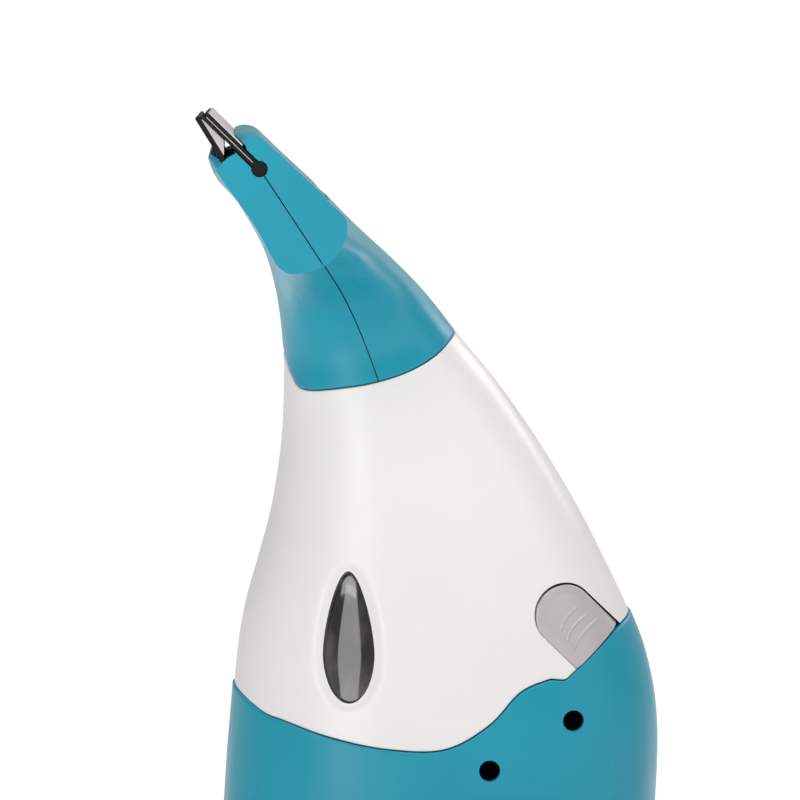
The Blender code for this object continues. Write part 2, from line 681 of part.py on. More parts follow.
def make_button(side_name, side, outer_form, back_form, seam_form):
    """A curved plate that follows the casing, lifted a little at its free end.

    Its hinge lies along the seam, square to the button and level with Y = BUTTON_AXIS_Y.
    """
    low, high = sorted((side * BUTTON_INNER_Y, side * HALF_SPACE))
    name = f"release_button_{side_name}"
    draft = add_object(name + "_draft", plate_mesh(
        name + "_draft", button_outline(0.0, BUTTON_TAIL + 6.0), low, high))
    boolean(draft, "INTERSECT", outer_form)
    boolean(draft, "DIFFERENCE", back_form)
    boolean(draft, "DIFFERENCE", seam_form)
    bpy.context.view_layer.update()
    evaluated = draft.evaluated_get(bpy.context.evaluated_depsgraph_get())
    mesh = bpy.data.meshes.new_from_object(evaluated)
    mesh.name = name
    bpy.data.objects.remove(draft, do_unlink=True)
    middle = BUTTON_CENTRE + BUTTON_DIRECTION * (BUTTON_TAIL - BUTTON_AXIS_INSET)
    pivot = Vector((middle.x, side * BUTTON_AXIS_Y, middle.y))
    direction = Vector((-BUTTON_DIRECTION.y, 0.0, BUTTON_DIRECTION.x))
    lift = Matrix.Rotation(-side * math.radians(BUTTON_LIFT_DEG), 4, direction)
    mesh.transform(lift @ Matrix.Translation(-pivot * MM))
    add_object(name, mesh, WHITE, pivot)


# ---------------------------------------------------------------- lower shells with the handle
def boss_rods(radius, y_from, y_to):
    return [("Y", (x, y_from, z), (x, y_to, z), radius) for x, z in SCREWS.values()]


def lower_cavity():
    """The hollow of the lower shells: the inner form without the opening's wall and the bosses."""
    cavity = casing_tool("lower_cavity", -WALL)
    opening = rounded(OPENING, OPENING_RADIUS)
    wall = add_object("opening_wall", plate_mesh(
        "opening_wall", offset_line(opening + opening[:1], -WALL)[:-1], -HALF_SPACE, HALF_SPACE))
    boolean(cavity, "DIFFERENCE", wall)
    bosses = add_object("bosses", rods_mesh(
        "bosses", boss_rods(BOSS_RADIUS, -HALF_SPACE, HALF_SPACE), 16))
    boolean(cavity, "DIFFERENCE", bosses)
    return cavity


def teal_outline(shift):
    """Everything under the lower seam, with the seam moved up by shift."""
    below = [(80.0, 190.0), (80.0, -10.0), (-75.0, -10.0)]
    return offset_line(lower_seam, shift) + below


def make_lower_shell(side_name, side, tools):
    name = f"lower_{side_name}_shell"
    low, high = side_range(side)
    shell = add_object(name, casing_mesh(name, TEAL_PROUD), TEAL)
    region = add_object(name + "_region", plate_mesh(name + "_region", teal_outline(-GAP / 2), low, high))
    boolean(shell, "DIFFERENCE", tools["cavity"])
    boolean(shell, "DIFFERENCE", tools["opening"])
    boolean(shell, "INTERSECT", region)
    for tool in tools["cuts"]:
        boolean(shell, "DIFFERENCE", tool)
    if side < 0:
        boolean(shell, "DIFFERENCE", tools["heads"])


def lower_tools():
    opening = plate_mesh("finger_opening", rounded(OPENING, OPENING_RADIUS), -70.0, 70.0)
    pilot = SCREW_RADIUS + GAP
    head = SCREW_HEAD_RADIUS + GAP
    cuts = [
        rods_mesh("screw_holes", boss_rods(pilot, -30.0, SCREW_END_Y + 1.0), 12),
        rods_mesh("filler_hole", [("X", (-70.0, 0.0, FILLER_HEIGHT), (-50.0, 0.0, FILLER_HEIGHT),
                                   FILLER_NECK_RADIUS + 0.5)]),
        rods_mesh("gland_hole", [("X", (42.0, 0.0, GLAND_HEIGHT), (62.0, 0.0, GLAND_HEIGHT), 6.4)]),
        box_mesh("trigger_slot", (28.0, -TRIGGER_HALF_WIDTH - 0.5, 88.8),
                 (42.4, TRIGGER_HALF_WIDTH + 0.5, 124.4)),
        rods_mesh("foot_recesses", [("Z", (x, y, 0.0), (x, y, FOOT_HEIGHT + GAP), FOOT_RADIUS + 0.4)
                                    for x, y in FEET.values()]),
    ]
    return {"cavity": lower_cavity(),
            "opening": add_object("finger_opening", opening),
            "cuts": [add_object(mesh.name, mesh) for mesh in cuts],
            "heads": add_object("screw_heads", rods_mesh(
                "screw_heads", boss_rods(head, -HALF_SPACE, SCREW_HEAD_Y + GAP), 16))}


def make_screw(label, x, z):
    """A pan-head screw along Y, its head on the left."""
    head = SCREW_HEAD_RADIUS
    profile = [(0.0, SCREW_END_Y), (SCREW_RADIUS * 0.5, SCREW_END_Y - 0.6),
               (SCREW_RADIUS, SCREW_END_Y - 2.0), (SCREW_RADIUS, SCREW_HEAD_Y),
               (head, SCREW_HEAD_Y), (head, SCREW_HEAD_Y - 1.2), (head - 0.6, SCREW_HEAD_Y - 1.8),
               (1.0, SCREW_HEAD_Y - 2.0), (0.7, SCREW_HEAD_Y - 1.0), (0.0, SCREW_HEAD_Y - 1.0)]
    turned(f"screw_{label}", profile, STEEL, "Y", (x, 0.0, z), 10)


def make_foot(label, x, y):
    profile = [(0.0, FOOT_HEIGHT), (FOOT_RADIUS, FOOT_HEIGHT), (FOOT_RADIUS, 0.8),
               (FOOT_RADIUS - 0.8, 0.0), (0.0, 0.0)]
    turned(f"foot_{label}", profile, BLACK, "Z", (x, y, 0.0), 24)


# ---------------------------------------------------------------- controls
def helix(start, axis, length, radius, turns, per_turn=8):
    """Points along a coil from start, along the named axis, towards plus."""
    points = []
    for index in range(turns * per_turn + 1):
        angle = 2 * math.pi * index / per_turn
        rise = length * index / (turns * per_turn)
        a = radius * math.cos(angle)
        b = radius * math.sin(angle)
        offset = Vector((rise, a, b)) if axis == "X" else Vector((a, rise, b))
        points.append(Vector(start) + offset)
    return points


def make_trigger():
    mesh = plate_mesh("steam_trigger", rounded(TRIGGER, 1.0, 2), -TRIGGER_HALF_WIDTH,
                      TRIGGER_HALF_WIDTH)
    pivot = Vector((TRIGGER_PIVOT.x, 0.0, TRIGGER_PIVOT.y))
    mesh.transform(Matrix.Translation(-pivot * MM))
    trigger = add_object("steam_trigger", mesh, GREY, pivot)
    x, z = TRIGGER_PIVOT
    hole = add_object("trigger_bore", rods_mesh(
        "trigger_bore", [("Y", (x, -20.0, z), (x, 20.0, z), TRIGGER_PIN_RADIUS + GAP)], 16))
    boolean(trigger, "DIFFERENCE", hole)
    add_object("trigger_pin", rods_mesh(
        "trigger_pin", [("Y", (x, -15.0, z), (x, 15.0, z), TRIGGER_PIN_RADIUS)], 16), STEEL)
    spring = helix((44.6, 0.0, 99.0), "X", 14.2, 3.2, 5)
    add_object("trigger_spring", tube_mesh("trigger_spring", spring, 0.4, 1), STEEL)
    add_object("trigger_switch", box_mesh(
        "trigger_switch", (48.5, -3.2, 104.5), (56.0, 3.2, 117.0), 0.4), DARK)


def make_latch():
    """The bracket behind the buttons, and their return springs."""
    add_object("latch_bracket", box_mesh(
        "latch_bracket", (35.5, -21.0, 179.0), (44.5, 21.0, 189.0), 0.6), DARK)
    add_object("release_spring_left", tube_mesh(
        "release_spring_left", helix((39.0, -30.4, 184.0), "Y", 8.7, 2.4, 4), 0.35, 1), STEEL)
    add_object("release_spring_right", tube_mesh(
        "release_spring_right", helix((39.0, 21.7, 184.0), "Y", 8.7, 2.4, 4), 0.35, 1), STEEL)


def make_filler():
    """The quarter-turn cap: a disc, a plug in the tank's neck, a grip bar and a flat seal."""
    place = (-60.2, 0.0, FILLER_HEIGHT)
    plug = FILLER_BORE - 0.4
    profile = [(0.0, 6.5), (plug, 6.5), (plug, 0.0), (CAP_RADIUS, 0.0), (CAP_RADIUS, -1.6),
               (CAP_RADIUS - 1.0, -2.6), (0.0, -2.6)]
    cap = turned("filler_cap", profile, TEAL, "X", place, 32)
    bar = add_object("cap_grip", box_mesh(
        "cap_grip", (-67.2, -10.5, FILLER_HEIGHT - 2.4), (-61.5, 10.5, FILLER_HEIGHT + 2.4), 0.6))
    boolean(cap, "UNION", bar)
    inner = FILLER_BORE - 0.1
    outer = FILLER_NECK_RADIUS - 0.1
    ring = [(inner, 2.2), (outer, 2.2), (outer, 0.3), (inner, 0.3)]
    turned("filler_cap_seal", ring, SILICONE, "X", place, 32)


# ---------------------------------------------------------------- inside
def make_tank():
    """A blown tank that follows the front of the casing, with its filler neck."""
    tank = add_object("water_tank", casing_mesh("water_tank", TANK_OFFSET, detail=1), TANK_PLASTIC)
    room = add_object("tank_room", box_mesh(
        "tank_room", (-80.0, -60.0, TANK_BOTTOM), (TANK_REAR, 60.0, TANK_TOP)))
    boolean(tank, "INTERSECT", room)
    neck = add_object("tank_neck", rods_mesh("tank_neck", [
        ("X", (-57.6, 0.0, FILLER_HEIGHT), (-48.0, 0.0, FILLER_HEIGHT), FILLER_NECK_RADIUS)]))
    boolean(tank, "UNION", neck)
    inside = casing_tool("tank_inside", TANK_OFFSET - TANK_WALL, detail=1)
    inside_room = add_object("tank_inside_room", box_mesh(
        "tank_inside_room", (-80.0, -60.0, TANK_BOTTOM + TANK_WALL),
        (TANK_REAR - TANK_WALL, 60.0, TANK_TOP - TANK_WALL)))
    boolean(inside, "INTERSECT", inside_room)
    boolean(tank, "DIFFERENCE", inside)
    bore = add_object("tank_bore", rods_mesh("tank_bore", [
        ("X", (-62.0, 0.0, FILLER_HEIGHT), (-46.0, 0.0, FILLER_HEIGHT), FILLER_BORE)]))
    boolean(tank, "DIFFERENCE", bore)


def make_steam_parts():
    boiler = add_object("boiler", box_mesh(
        "boiler", (0.0, -20.0, 160.0), (26.0, 20.0, 214.0), 2.0), ALUMINIUM)
    element_hole = add_object("element_hole", rods_mesh("element_hole", [
        ("Z", (14.0, 0.0, 155.0), (14.0, 0.0, 206.0), 3.6)]))
    boolean(boiler, "DIFFERENCE", element_hole)
    add_object("heater_element", rods_mesh("heater_element", [
        ("Z", (14.0, 0.0, 149.0), (14.0, 0.0, 205.0), 3.2)]), STEEL)
    add_object("thermostat", rods_mesh("thermostat", [
        ("X", (26.3, 0.0, 198.0), (32.0, 0.0, 198.0), 7.5)]), DARK)
    add_object("thermal_fuse", rods_mesh("thermal_fuse", [
        ("Z", (29.0, -10.0, 166.0), (29.0, -10.0, 180.0), 2.2)], 12), PALE)
    steam_route = [(12.0, 0.0, 215.0), (12.0, 0.0, 224.0), (4.0, 0.0, 238.0), (-9.0, 0.0, 255.0),
                   (-23.0, 0.0, 270.0), (-34.0, 0.0, 282.0), (-38.5, 0.0, 288.0), (-38.5, 0.0, 293.4)]
    add_object("steam_pipe", tube_mesh("steam_pipe", smooth_line(steam_route, 3), 3.4, 2), SILICONE)
    add_object("steam_manifold", box_mesh(
        "steam_manifold", (-43.0, -88.0, 293.8), (-34.0, 88.0, 300.8), 1.0), TANK_PLASTIC)


def make_neck_parts():
    """A sleeve that lines up the nozzle and the casing, and the seal under it."""
    outside = -WALL - GAP
    inside = casing_tool("sleeve_inside", outside - 1.8)
    for name, low, high, surface in (("neck_sleeve", 238.0, 262.0, GREY),
                                     ("neck_seal", 233.0, 237.6, SILICONE)):
        ring = add_object(name, casing_mesh(name, outside), surface)
        room = add_object(name + "_room", box_mesh(
            name + "_room", (-80.0, -60.0, low), (60.0, 60.0, high)))
        boolean(ring, "INTERSECT", room)
        boolean(ring, "DIFFERENCE", inside)


def make_water_parts():
    pump = add_object("pump", rods_mesh("pump", [
        ("X", (-45.0, 0.0, 69.0), (-12.0, 0.0, 69.0), 15.0)]), DARK)
    foot = add_object("pump_foot", box_mesh("pump_foot", (-42.0, -11.0, 50.0), (-14.0, 11.0, 60.0)))
    boolean(pump, "UNION", foot)
    add_object("tank_hose", tube_mesh(
        "tank_hose", [(-28.0, 0.0, 84.4), (-28.0, 0.0, 97.6)], 2.6, 2), SILICONE)
    feed_route = [(-10.6, 0.0, 69.0), (-8.0, 0.0, 69.0), (-5.4, 0.0, 74.0), (-4.4, 0.0, 86.0),
                  (-0.9, 0.0, 99.0), (-0.6, 0.0, 115.0), (-0.2, 0.0, 132.0), (2.0, 0.0, 146.0),
                  (4.0, 0.0, 153.0), (4.0, 0.0, 159.5)]
    add_object("feed_hose", tube_mesh("feed_hose", smooth_line(feed_route, 3), 2.2, 2), SILICONE)


def make_electrical_parts():
    add_object("circuit_board", box_mesh(
        "circuit_board", (-37.0, -26.0, 34.0), (-3.0, 26.0, 35.6)), BOARD)
    add_object("terminal_block", box_mesh(
        "terminal_block", (-33.0, -18.0, 35.9), (-23.0, 18.0, 45.0), 0.6), DARK)
    profile = [(6.0, 9.8), (6.0, 2.0), (8.6, 2.0), (8.6, 1.0), (7.6, 0.0), (3.4, 0.0), (3.4, 9.8)]
    gland = turned("cable_gland", profile, BLACK, "X",
                   (54.2, 0.0, GLAND_HEIGHT), 24)
    gland.matrix_world = (Matrix.Translation(Vector((54.2, 0.0, GLAND_HEIGHT)) * MM)
                          @ Matrix.Rotation(math.radians(-90), 4, "Y"))


# ---------------------------------------------------------------- assembly
make_nozzle()
make_blade()
make_lip()
lens_face = casing_tool("lens_face", -0.5)
lens_back = casing_tool("lens_back", -LENS_DEPTH)
button_face = casing_tool("button_face", 0.3)
button_back = casing_tool("button_back", -BUTTON_DEPTH)
button_seam = add_object("button_seam", plate_mesh(
    "button_seam", teal_outline(2 * GAP), -HALF_SPACE, HALF_SPACE))
shell_tools = lower_tools()
for side_label, side_sign in SIDES.items():
    make_upper_shell(side_label, side_sign)
    make_window(side_label, side_sign, lens_face, lens_back)
    make_button(side_label, side_sign, button_face, button_back, button_seam)
    make_lower_shell(side_label, side_sign, shell_tools)
for screw_label, (screw_x, screw_z) in SCREWS.items():
    make_screw(screw_label, screw_x, screw_z)
for foot_label, (foot_x, foot_y) in FEET.items():
    make_foot(foot_label, foot_x, foot_y)
make_trigger()
make_latch()
make_filler()
make_tank()
make_steam_parts()
make_neck_parts()
make_water_parts()
make_electrical_parts()
for piece in PARTS.objects:
    piece.data.shade_smooth()
    piece.data.set_sharp_from_angle(angle=math.radians(35))
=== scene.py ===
"""The looks of the handheld steamer: finished shells, rubber, window, materials, light and camera.

Lengths are written in millimetres and become metres through MM. The casing's form is the one that
the CAD model has, sampled more finely, so each finished piece covers the CAD node it replaces.
"""
import json
import math
import bmesh
import bpy
import numpy as np
from mathutils import Matrix, Vector


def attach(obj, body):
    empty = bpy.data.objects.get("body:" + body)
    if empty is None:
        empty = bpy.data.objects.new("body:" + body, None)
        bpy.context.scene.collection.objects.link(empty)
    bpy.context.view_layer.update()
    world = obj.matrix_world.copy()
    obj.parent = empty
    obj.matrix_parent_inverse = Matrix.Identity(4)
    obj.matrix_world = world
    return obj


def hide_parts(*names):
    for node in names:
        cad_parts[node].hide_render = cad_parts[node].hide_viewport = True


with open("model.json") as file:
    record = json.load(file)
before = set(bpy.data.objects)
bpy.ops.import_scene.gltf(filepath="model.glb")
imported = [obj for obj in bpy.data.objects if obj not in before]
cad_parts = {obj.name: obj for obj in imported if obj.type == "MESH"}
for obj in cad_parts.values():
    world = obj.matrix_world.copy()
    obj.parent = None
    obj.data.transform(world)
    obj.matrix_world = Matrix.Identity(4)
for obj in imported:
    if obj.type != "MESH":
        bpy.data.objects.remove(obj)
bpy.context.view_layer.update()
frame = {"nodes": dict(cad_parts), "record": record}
NODES = frame["nodes"]
MM = 0.001

# ---------------------------------------------------------------- form, as in the CAD model
GAP = 0.3
WALL = 2.4
TEAL_PROUD = 0.57
POWER = 2.7
HEAD_HALF_LENGTH = 105.0

# front x and z, rear x and z, half width across Y
SECTIONS = [
    (-47.0, 2.0, 43.5, 2.0, 37.0),
    (-50.8, 3.2, 47.2, 3.2, 40.4),
    (-52.2, 7.0, 48.6, 7.0, 41.6),
    (-54.6, 22.0, 51.0, 22.0, 42.6),
    (-58.6, 60.0, 57.3, 60.0, 44.4),
    (-59.2, 100.0, 63.6, 100.0, 45.6),
    (-57.4, 135.0, 66.4, 135.0, 45.9),
    (-55.8, 155.0, 66.2, 155.0, 45.3),
    (-54.4, 171.0, 63.1, 171.0, 43.9),
    (-52.1, 184.5, 57.9, 184.5, 42.2),
    (-48.3, 198.0, 51.4, 198.0, 40.1),
    (-44.5, 212.5, 44.0, 212.5, 37.5),
    (-41.7, 231.0, 32.9, 231.0, 34.2),
    (-40.9, 247.0, 20.7, 248.5, 31.2),
    (-41.1, 258.0, 9.6, 262.0, 30.0),
    (-42.4, 270.5, -0.4, 274.6, 37.0),
    (-44.5, 280.5, -9.8, 284.2, 58.0),
    (-47.0, 287.8, -17.0, 290.8, 82.0),
    (-50.4, 294.4, -23.0, 296.6, 96.0),
    (-54.0, 300.4, -28.2, 302.0, 99.0),
]
FIRST_NECK_SECTION = 12         # the nozzle's funnel starts here
LOWER_SEAM = [(-56.3, 162.0), (-47.6, 156.1), (-41.2, 154.1), (-28.0, 150.0), (-12.0, 147.0),
              (4.0, 147.0), (16.5, 153.8), (25.3, 162.9), (34.0, 166.5)]
LOWER_SEAM_REAR = [(38.4, 166.0), (53.9, 179.5), (58.4, 182.3), (75.0, 193.5)]
NECK_SEAM = [(-41.1, 257.8), (-39.2, 251.6), (-35.6, 247.5), (-24.0, 248.4), (-14.4, 250.2),
             (-5.4, 253.2), (2.5, 257.7), (8.4, 263.4)]
PARTING = [(-48.4, 311.7), (-41.6, 301.5), (-31.1, 285.5), (-24.5, 274.7), (-19.2, 263.3),
           (-14.7, 251.2), (-12.6, 244.0)]
# the head bar's outline at its cheeks and, bowed forwards, in between
HEAD_OUTLINE = np.array([
    (-59.9, 311.0, -60.8, 310.4), (-58.3, 308.5, -58.9, 307.6), (-55.2, 304.3, -55.4, 303.9),
    (-51.1, 298.5, -51.1, 298.5), (-48.5, 294.4, -48.5, 294.4), (-45.6, 288.9, -45.6, 288.9),
    (-43.8, 285.9, -43.8, 285.9), (-41.4, 283.9, -41.4, 283.9), (-38.6, 283.5, -38.6, 283.5),
    (-34.9, 284.0, -34.9, 284.0), (-31.0, 285.5, -31.0, 285.5), (-28.4, 287.7, -28.4, 287.7),
    (-26.0, 291.2, -26.0, 291.2), (-24.9, 294.9, -24.9, 294.9), (-25.6, 298.7, -25.6, 298.7),
    (-30.1, 303.0, -30.1, 303.0), (-31.1, 304.5, -31.1, 304.5), (-40.6, 313.3, -40.6, 313.4),
    (-45.8, 318.1, -45.9, 318.5), (-48.0, 320.0, -48.6, 320.9), (-50.0, 320.7, -51.2, 321.7),
    (-51.9, 320.1, -53.2, 321.6), (-52.9, 319.0, -54.7, 321.0), (-54.0, 317.3, -55.6, 319.5),
    (-55.0, 315.8, -55.6, 315.4), (-56.6, 314.9, -59.6, 314.6), (-58.2, 313.6, -61.6, 315.6),
    (-59.4, 312.2, -62.2, 314.4)])
HEAD_CORNERS = (0, 24, 26)      # points of the outline that stay sharp
# distance from the middle, growth of the outline, and share of the bowed outline in it
HEAD_STATIONS = [(105.0, -0.15, 0.0), (104.85, 0.0, 0.0), (103.4, 0.0, 0.03), (102.0, 0.0, 0.14),
                 (100.4, 0.0, 0.36), (98.6, 0.0, 0.6), (96.5, 0.0, 0.82), (94.3, 0.0, 0.95),
                 (92.0, 0.0, 1.0), (60.0, 0.0, 1.0), (30.0, 0.0, 1.0)]
HEAD_WALL = 2.6
HEAD_CAVITY = [(-42.3, 290.0), (-53.2, 306.6), (-46.5, 306.9), (-43.0, 310.3), (-42.8, 313.2),
               (-31.6, 302.4), (-27.6, 297.0), (-27.6, 291.6), (-31.0, 287.6), (-37.6, 285.9)]
OPENING = [(0.0, 44.0), (31.0, 44.0), (39.0, 130.0), (7.0, 130.0)]
OPENING_RADIUS = 10.0
OPENING_EDGE = 4.5
BULB = np.array((-48.4, 311.7))
BULB_RADIUS = 2.1
BLADE_TIP = np.array((-63.2, 326.2))
LEAF = 0.85
LEAF_SLIT = 0.3
BLADE_HALF_LENGTH = 104.7
STRIP_THICKNESS = 0.3
STRIP_START = 7.6
STRIP_SHORT_OF_TIP = 0.4
LIP_ROOT = np.array((-56.4, 311.4))
LIP_TIP = np.array((-65.3, 325.7))
LIP_THICKNESS = 1.3
LIP_HALF_LENGTH = 103.2
PAD_ON_BLADE = (12.2, 19.4)     # where the wedge between lip and blade meets the blade
LIP_PAD_START = 4.2
WINDOW_CENTRE = (-23.1, 174.0)
WINDOW_RADIUS = 7.0
WINDOW_TOP = 196.5
WINDOW_BOTTOM = 160.0
DISH_REACH = 3.4
DISH_DEPTH = 1.1
BUTTON_CENTRE = np.array((38.3, 184.3))
BUTTON_RADIUS = 8.4
BUTTON_DIRECTION = np.array((0.716, -0.698))
BUTTON_HINGE_REACH = 10.6       # from the button's centre along its direction
BUTTON_HINGE_Y = 31.0
BUTTON_LIFT_DEG = 3.0           # the free end stands proud of the casing
PAD_FACE = 0.45                 # the pad's face over the casing
PAD_GROWTH = 0.12
SKIRT_GROWTH = 0.38
SKIRT_SETBACK = 0.3
POCKET_GROWTH = 0.45
CHAMFER_WIDTH = 2.4
CHAMFER_DEPTH = 0.8
RIB_REACH = 0.5
RIB_HEIGHT = 0.4
RIB_POINTS = [[(36.7, 180.6), (37.3, 182.4), (38.4, 184.1), (39.9, 185.4), (41.2, 186.1)],
              [(38.3, 177.5), (39.3, 179.8), (40.8, 181.7), (42.6, 183.2), (44.4, 184.2)],
              [(40.2, 174.7), (41.5, 177.2), (43.2, 179.4), (45.2, 181.1), (47.4, 182.4)]]
SCREWS = [(40.4, 154.6), (43.5, 30.5), (-43.5, 24.0), (18.0, 27.0), (16.5, 141.0)]
SCREW_RECESS = 3.0
TRIGGER = [(42.6, 127.5), (48.5, 127.5), (48.5, 121.0), (44.6, 117.0), (42.6, 91.0), (38.6, 90.2),
           (33.0, 93.5), (30.6, 103.0), (31.8, 113.0), (36.2, 120.5), (39.6, 122.6)]
TRIGGER_HALF_WIDTH = 8.0
TRIGGER_PIN = (45.5, 124.2)
TRIGGER_BORE_RADIUS = 1.7
TRIGGER_SLOT = ((28.0, -8.5, 88.8), (42.4, 8.5, 124.4))
CAP_CENTRE = (-60.2, 0.0, 112.0)
CAP_HOLE_RADIUS = 12.0
CAP_GRIP = ((-67.2, -10.5, 109.6), (-62.0, 10.5, 114.4))
BRACKET = ((35.5, -21.0, 179.0), (44.5, 21.0, 189.0))
BRACKET_RIB = ((43.0, -6.0, 178.4), (53.6, 6.0, 186.0))
GLAND_CENTRE = (54.2, 0.0, 16.0)
FOOT_X = {"front": -35.0, "rear": 31.0}
FOOT_Y = 23.0
BASE_INSIDE_Z = 5.0
BEYOND = 60.0                   # far enough outside the casing for a cut
SIDES = {"left": -1.0, "right": 1.0}

# ---------------------------------------------------------------- camera, light and floor, in metres
CAMERA_PLACE = (-0.056, -1.5, 0.337)
CAMERA_AIM = (-0.0073, 0.0, 0.243)
CAMERA_LENS = 233.8
FLOOR_RADIUS = 0.7
BACKDROP_STRENGTH = 1.05
# name, place, aim, size and power in watts
LIGHTS = [("key", (-0.8, -1.45, 1.05), (0.0, 0.0, 0.2), (0.8, 0.8), 6.6),
          ("tall", (-0.5, -1.1, 0.12), (0.0, 0.0, 0.2), (0.42, 0.9), 3.2),
          ("fill", (1.4, -0.9, 0.7), (0.0, 0.0, 0.2), (0.8, 1.2), 2.4),
          ("rear", (0.9, 1.2, 1.1), (0.0, 0.0, 0.2), (0.9, 0.9), 6.0),
          ("top", (0.1, -0.3, 1.7), (0.0, 0.0, 0.0), (1.2, 1.2), 10.0)]


# ---------------------------------------------------------------- lines, nets and meshes


def smooth_line(points, steps):
    """Points on a Catmull-Rom curve through the given ones, ends kept."""
    points = np.asarray(points, float)
    line = []
    last = len(points) - 1
    for index in range(last):
        before, start = points[max(index - 1, 0)], points[index]
        end, after = points[index + 1], points[min(index + 2, last)]
        for step in range(steps):
            t = step / steps
            line.append(0.5 * (2 * start + (end - before) * t
                               + (2 * before - 5 * start + 4 * end - after) * t ** 2
                               + (3 * start - before - 3 * end + after) * t ** 3))
    line.append(points[-1])
    return np.array(line)


def offset_line(points, distance):
    """Move an open line sideways, to the left of its direction for a positive distance."""
    points = np.asarray(points, float)
    along = np.gradient(points, axis=0)
    along /= np.linalg.norm(along, axis=1)[:, None]
    return points + np.column_stack((-along[:, 1], along[:, 0])) * distance


def arc(centre, radius, start_deg, end_deg, steps):
    angles = np.radians(np.linspace(start_deg, end_deg, steps + 1))
    return np.column_stack((centre[0] + radius * np.cos(angles), centre[1] + radius * np.sin(angles)))


lower_seam = np.vstack(([(-75.0, 175.0)], smooth_line(LOWER_SEAM, 8), LOWER_SEAM_REAR))
neck_seam = np.vstack(([(-75.0, 262.0), (-44.0, 262.0)], smooth_line(NECK_SEAM, 8), [(40.0, 294.0)]))


def half_ring(section, offset, columns):
    """Points of one section from its front to its rear along -Y, evenly spaced round it."""
    front = np.array((section[0], 0.0, section[1]))
    rear = np.array((section[2], 0.0, section[3]))
    centre, half = (front + rear) / 2, (rear - front) / 2
    half = half * (1 + offset / np.linalg.norm(half))
    angle = np.linspace(math.pi, 0.0, 1200)
    along = np.sign(np.cos(angle)) * np.abs(np.cos(angle)) ** (2 / POWER)
    across = np.abs(np.sin(angle)) ** (2 / POWER)
    ring = centre + along[:, None] * half
    ring[:, 1] -= across * (section[4] + offset)
    travelled = np.concatenate(([0.0], np.cumsum(np.linalg.norm(np.diff(ring, axis=0), axis=1))))
    wanted = np.linspace(0.0, travelled[-1], columns)
    return np.column_stack([np.interp(wanted, travelled, ring[:, k]) for k in range(3)])


def crossing(column, seam):
    """How far along a column, as a fraction of its index, it first rises past a seam."""
    height = np.interp(column[:, 0], seam[:, 0], seam[:, 1])
    above = np.nonzero(column[:, 2] >= height)[0]
    if len(above) == 0 or above[0] == 0:
        return float(len(column) - 1)
    index = above[0]
    before = column[index - 1, 2] - height[index - 1]
    after = column[index, 2] - height[index]
    return index - 1 + before / (before - after)


def along_column(column, lengths):
    """Points of a polyline at the given distances from its start."""
    travelled = np.concatenate(([0.0], np.cumsum(np.linalg.norm(np.diff(column, axis=0), axis=1))))
    return np.column_stack([np.interp(lengths, travelled, column[:, k]) for k in range(3)])


def skin(offset, low_seam, high_seam, rows, columns, first=0, edge=0.45):
    """The casing's left skin between two seams: points and inward depths of its rolled edges."""
    dense = smooth_line(SECTIONS[first:], 10)
    net = np.array([half_ring(section, offset, columns) for section in dense])
    turn = np.linspace(0.0, math.pi / 2, 5)
    inset, depth = edge * (1 - np.cos(turn)), edge * (1 - np.sin(turn))
    points = np.zeros((rows + 2 * len(turn), columns, 3))
    for k in range(columns):
        column = net[:, k]
        start = 0.0 if low_seam is None else crossing(column, low_seam)
        end = float(len(column) - 1) if high_seam is None else crossing(column, high_seam)
        index = np.arange(len(column))
        inner = index[(index > start) & (index < end)]
        picks = np.concatenate(([start], inner, [end]))
        piece = np.column_stack([np.interp(picks, index, column[:, a]) for a in range(3)])
        total = np.sum(np.linalg.norm(np.diff(piece, axis=0), axis=1))
        middle = np.linspace(edge, total - edge, rows + 2)[1:-1]
        lengths = np.concatenate((inset, middle, total - inset[::-1]))
        points[:, k] = along_column(piece, lengths)
    depths = np.concatenate((depth, np.zeros(rows), depth[::-1]))
    if low_seam is None:
        depths[:len(turn)] = 0.0
    return points, np.repeat(depths[:, None], columns, axis=1)


def grid_normals(points):
    """Unit normals of a net of points, pointing out of the casing."""
    along = np.gradient(points, axis=1)
    up = np.gradient(points, axis=0)
    normal = np.cross(along, up)
    normal /= np.maximum(np.linalg.norm(normal, axis=2), 1e-9)[..., None]
    return normal


def closed_shell(outer, inner):
    """A closed mesh between two nets of points of the same size."""
    rows, columns = outer.shape[:2]
    count = rows * columns
    index = np.arange(count).reshape(rows, columns)
    a, b = index[:-1, :-1], index[:-1, 1:]
    c, d = index[1:, 1:], index[1:, :-1]
    front = np.stack((a, b, c, d), -1).reshape(-1, 4)
    back = (np.stack((d, c, b, a), -1) + count).reshape(-1, 4)
    rim = np.concatenate((index[0, :], index[1:, -1], index[-1, -2::-1], index[-2:0:-1, 0]))
    following = np.roll(rim, -1)
    side = np.stack((following, rim, rim + count, following + count), -1)
    return np.concatenate((outer.reshape(-1, 3), inner.reshape(-1, 3))), np.concatenate((front, back, side))


def mesh_from(name, points, faces, side=-1.0):
    """A mesh in metres from points in millimetres, mirrored across Y for the right side."""
    points = np.array(points, float) * MM
    if side > 0:
        points = points * (1, -1, 1)
    mesh = bpy.data.meshes.new(name)
    mesh.from_pydata(points.tolist(), [], [list(map(int, face)) for face in faces])
    shape = bmesh.new()
    shape.from_mesh(mesh)
    bmesh.ops.remove_doubles(shape, verts=shape.verts, dist=1e-7)
    bmesh.ops.dissolve_degenerate(shape, edges=shape.edges, dist=1e-7)
    bmesh.ops.recalc_face_normals(shape, faces=shape.faces)
    shape.to_mesh(mesh)
    shape.free()
    return mesh


def add_object(name, mesh):
    made = bpy.data.objects.new(name, mesh)
    bpy.context.scene.collection.objects.link(made)
    return made


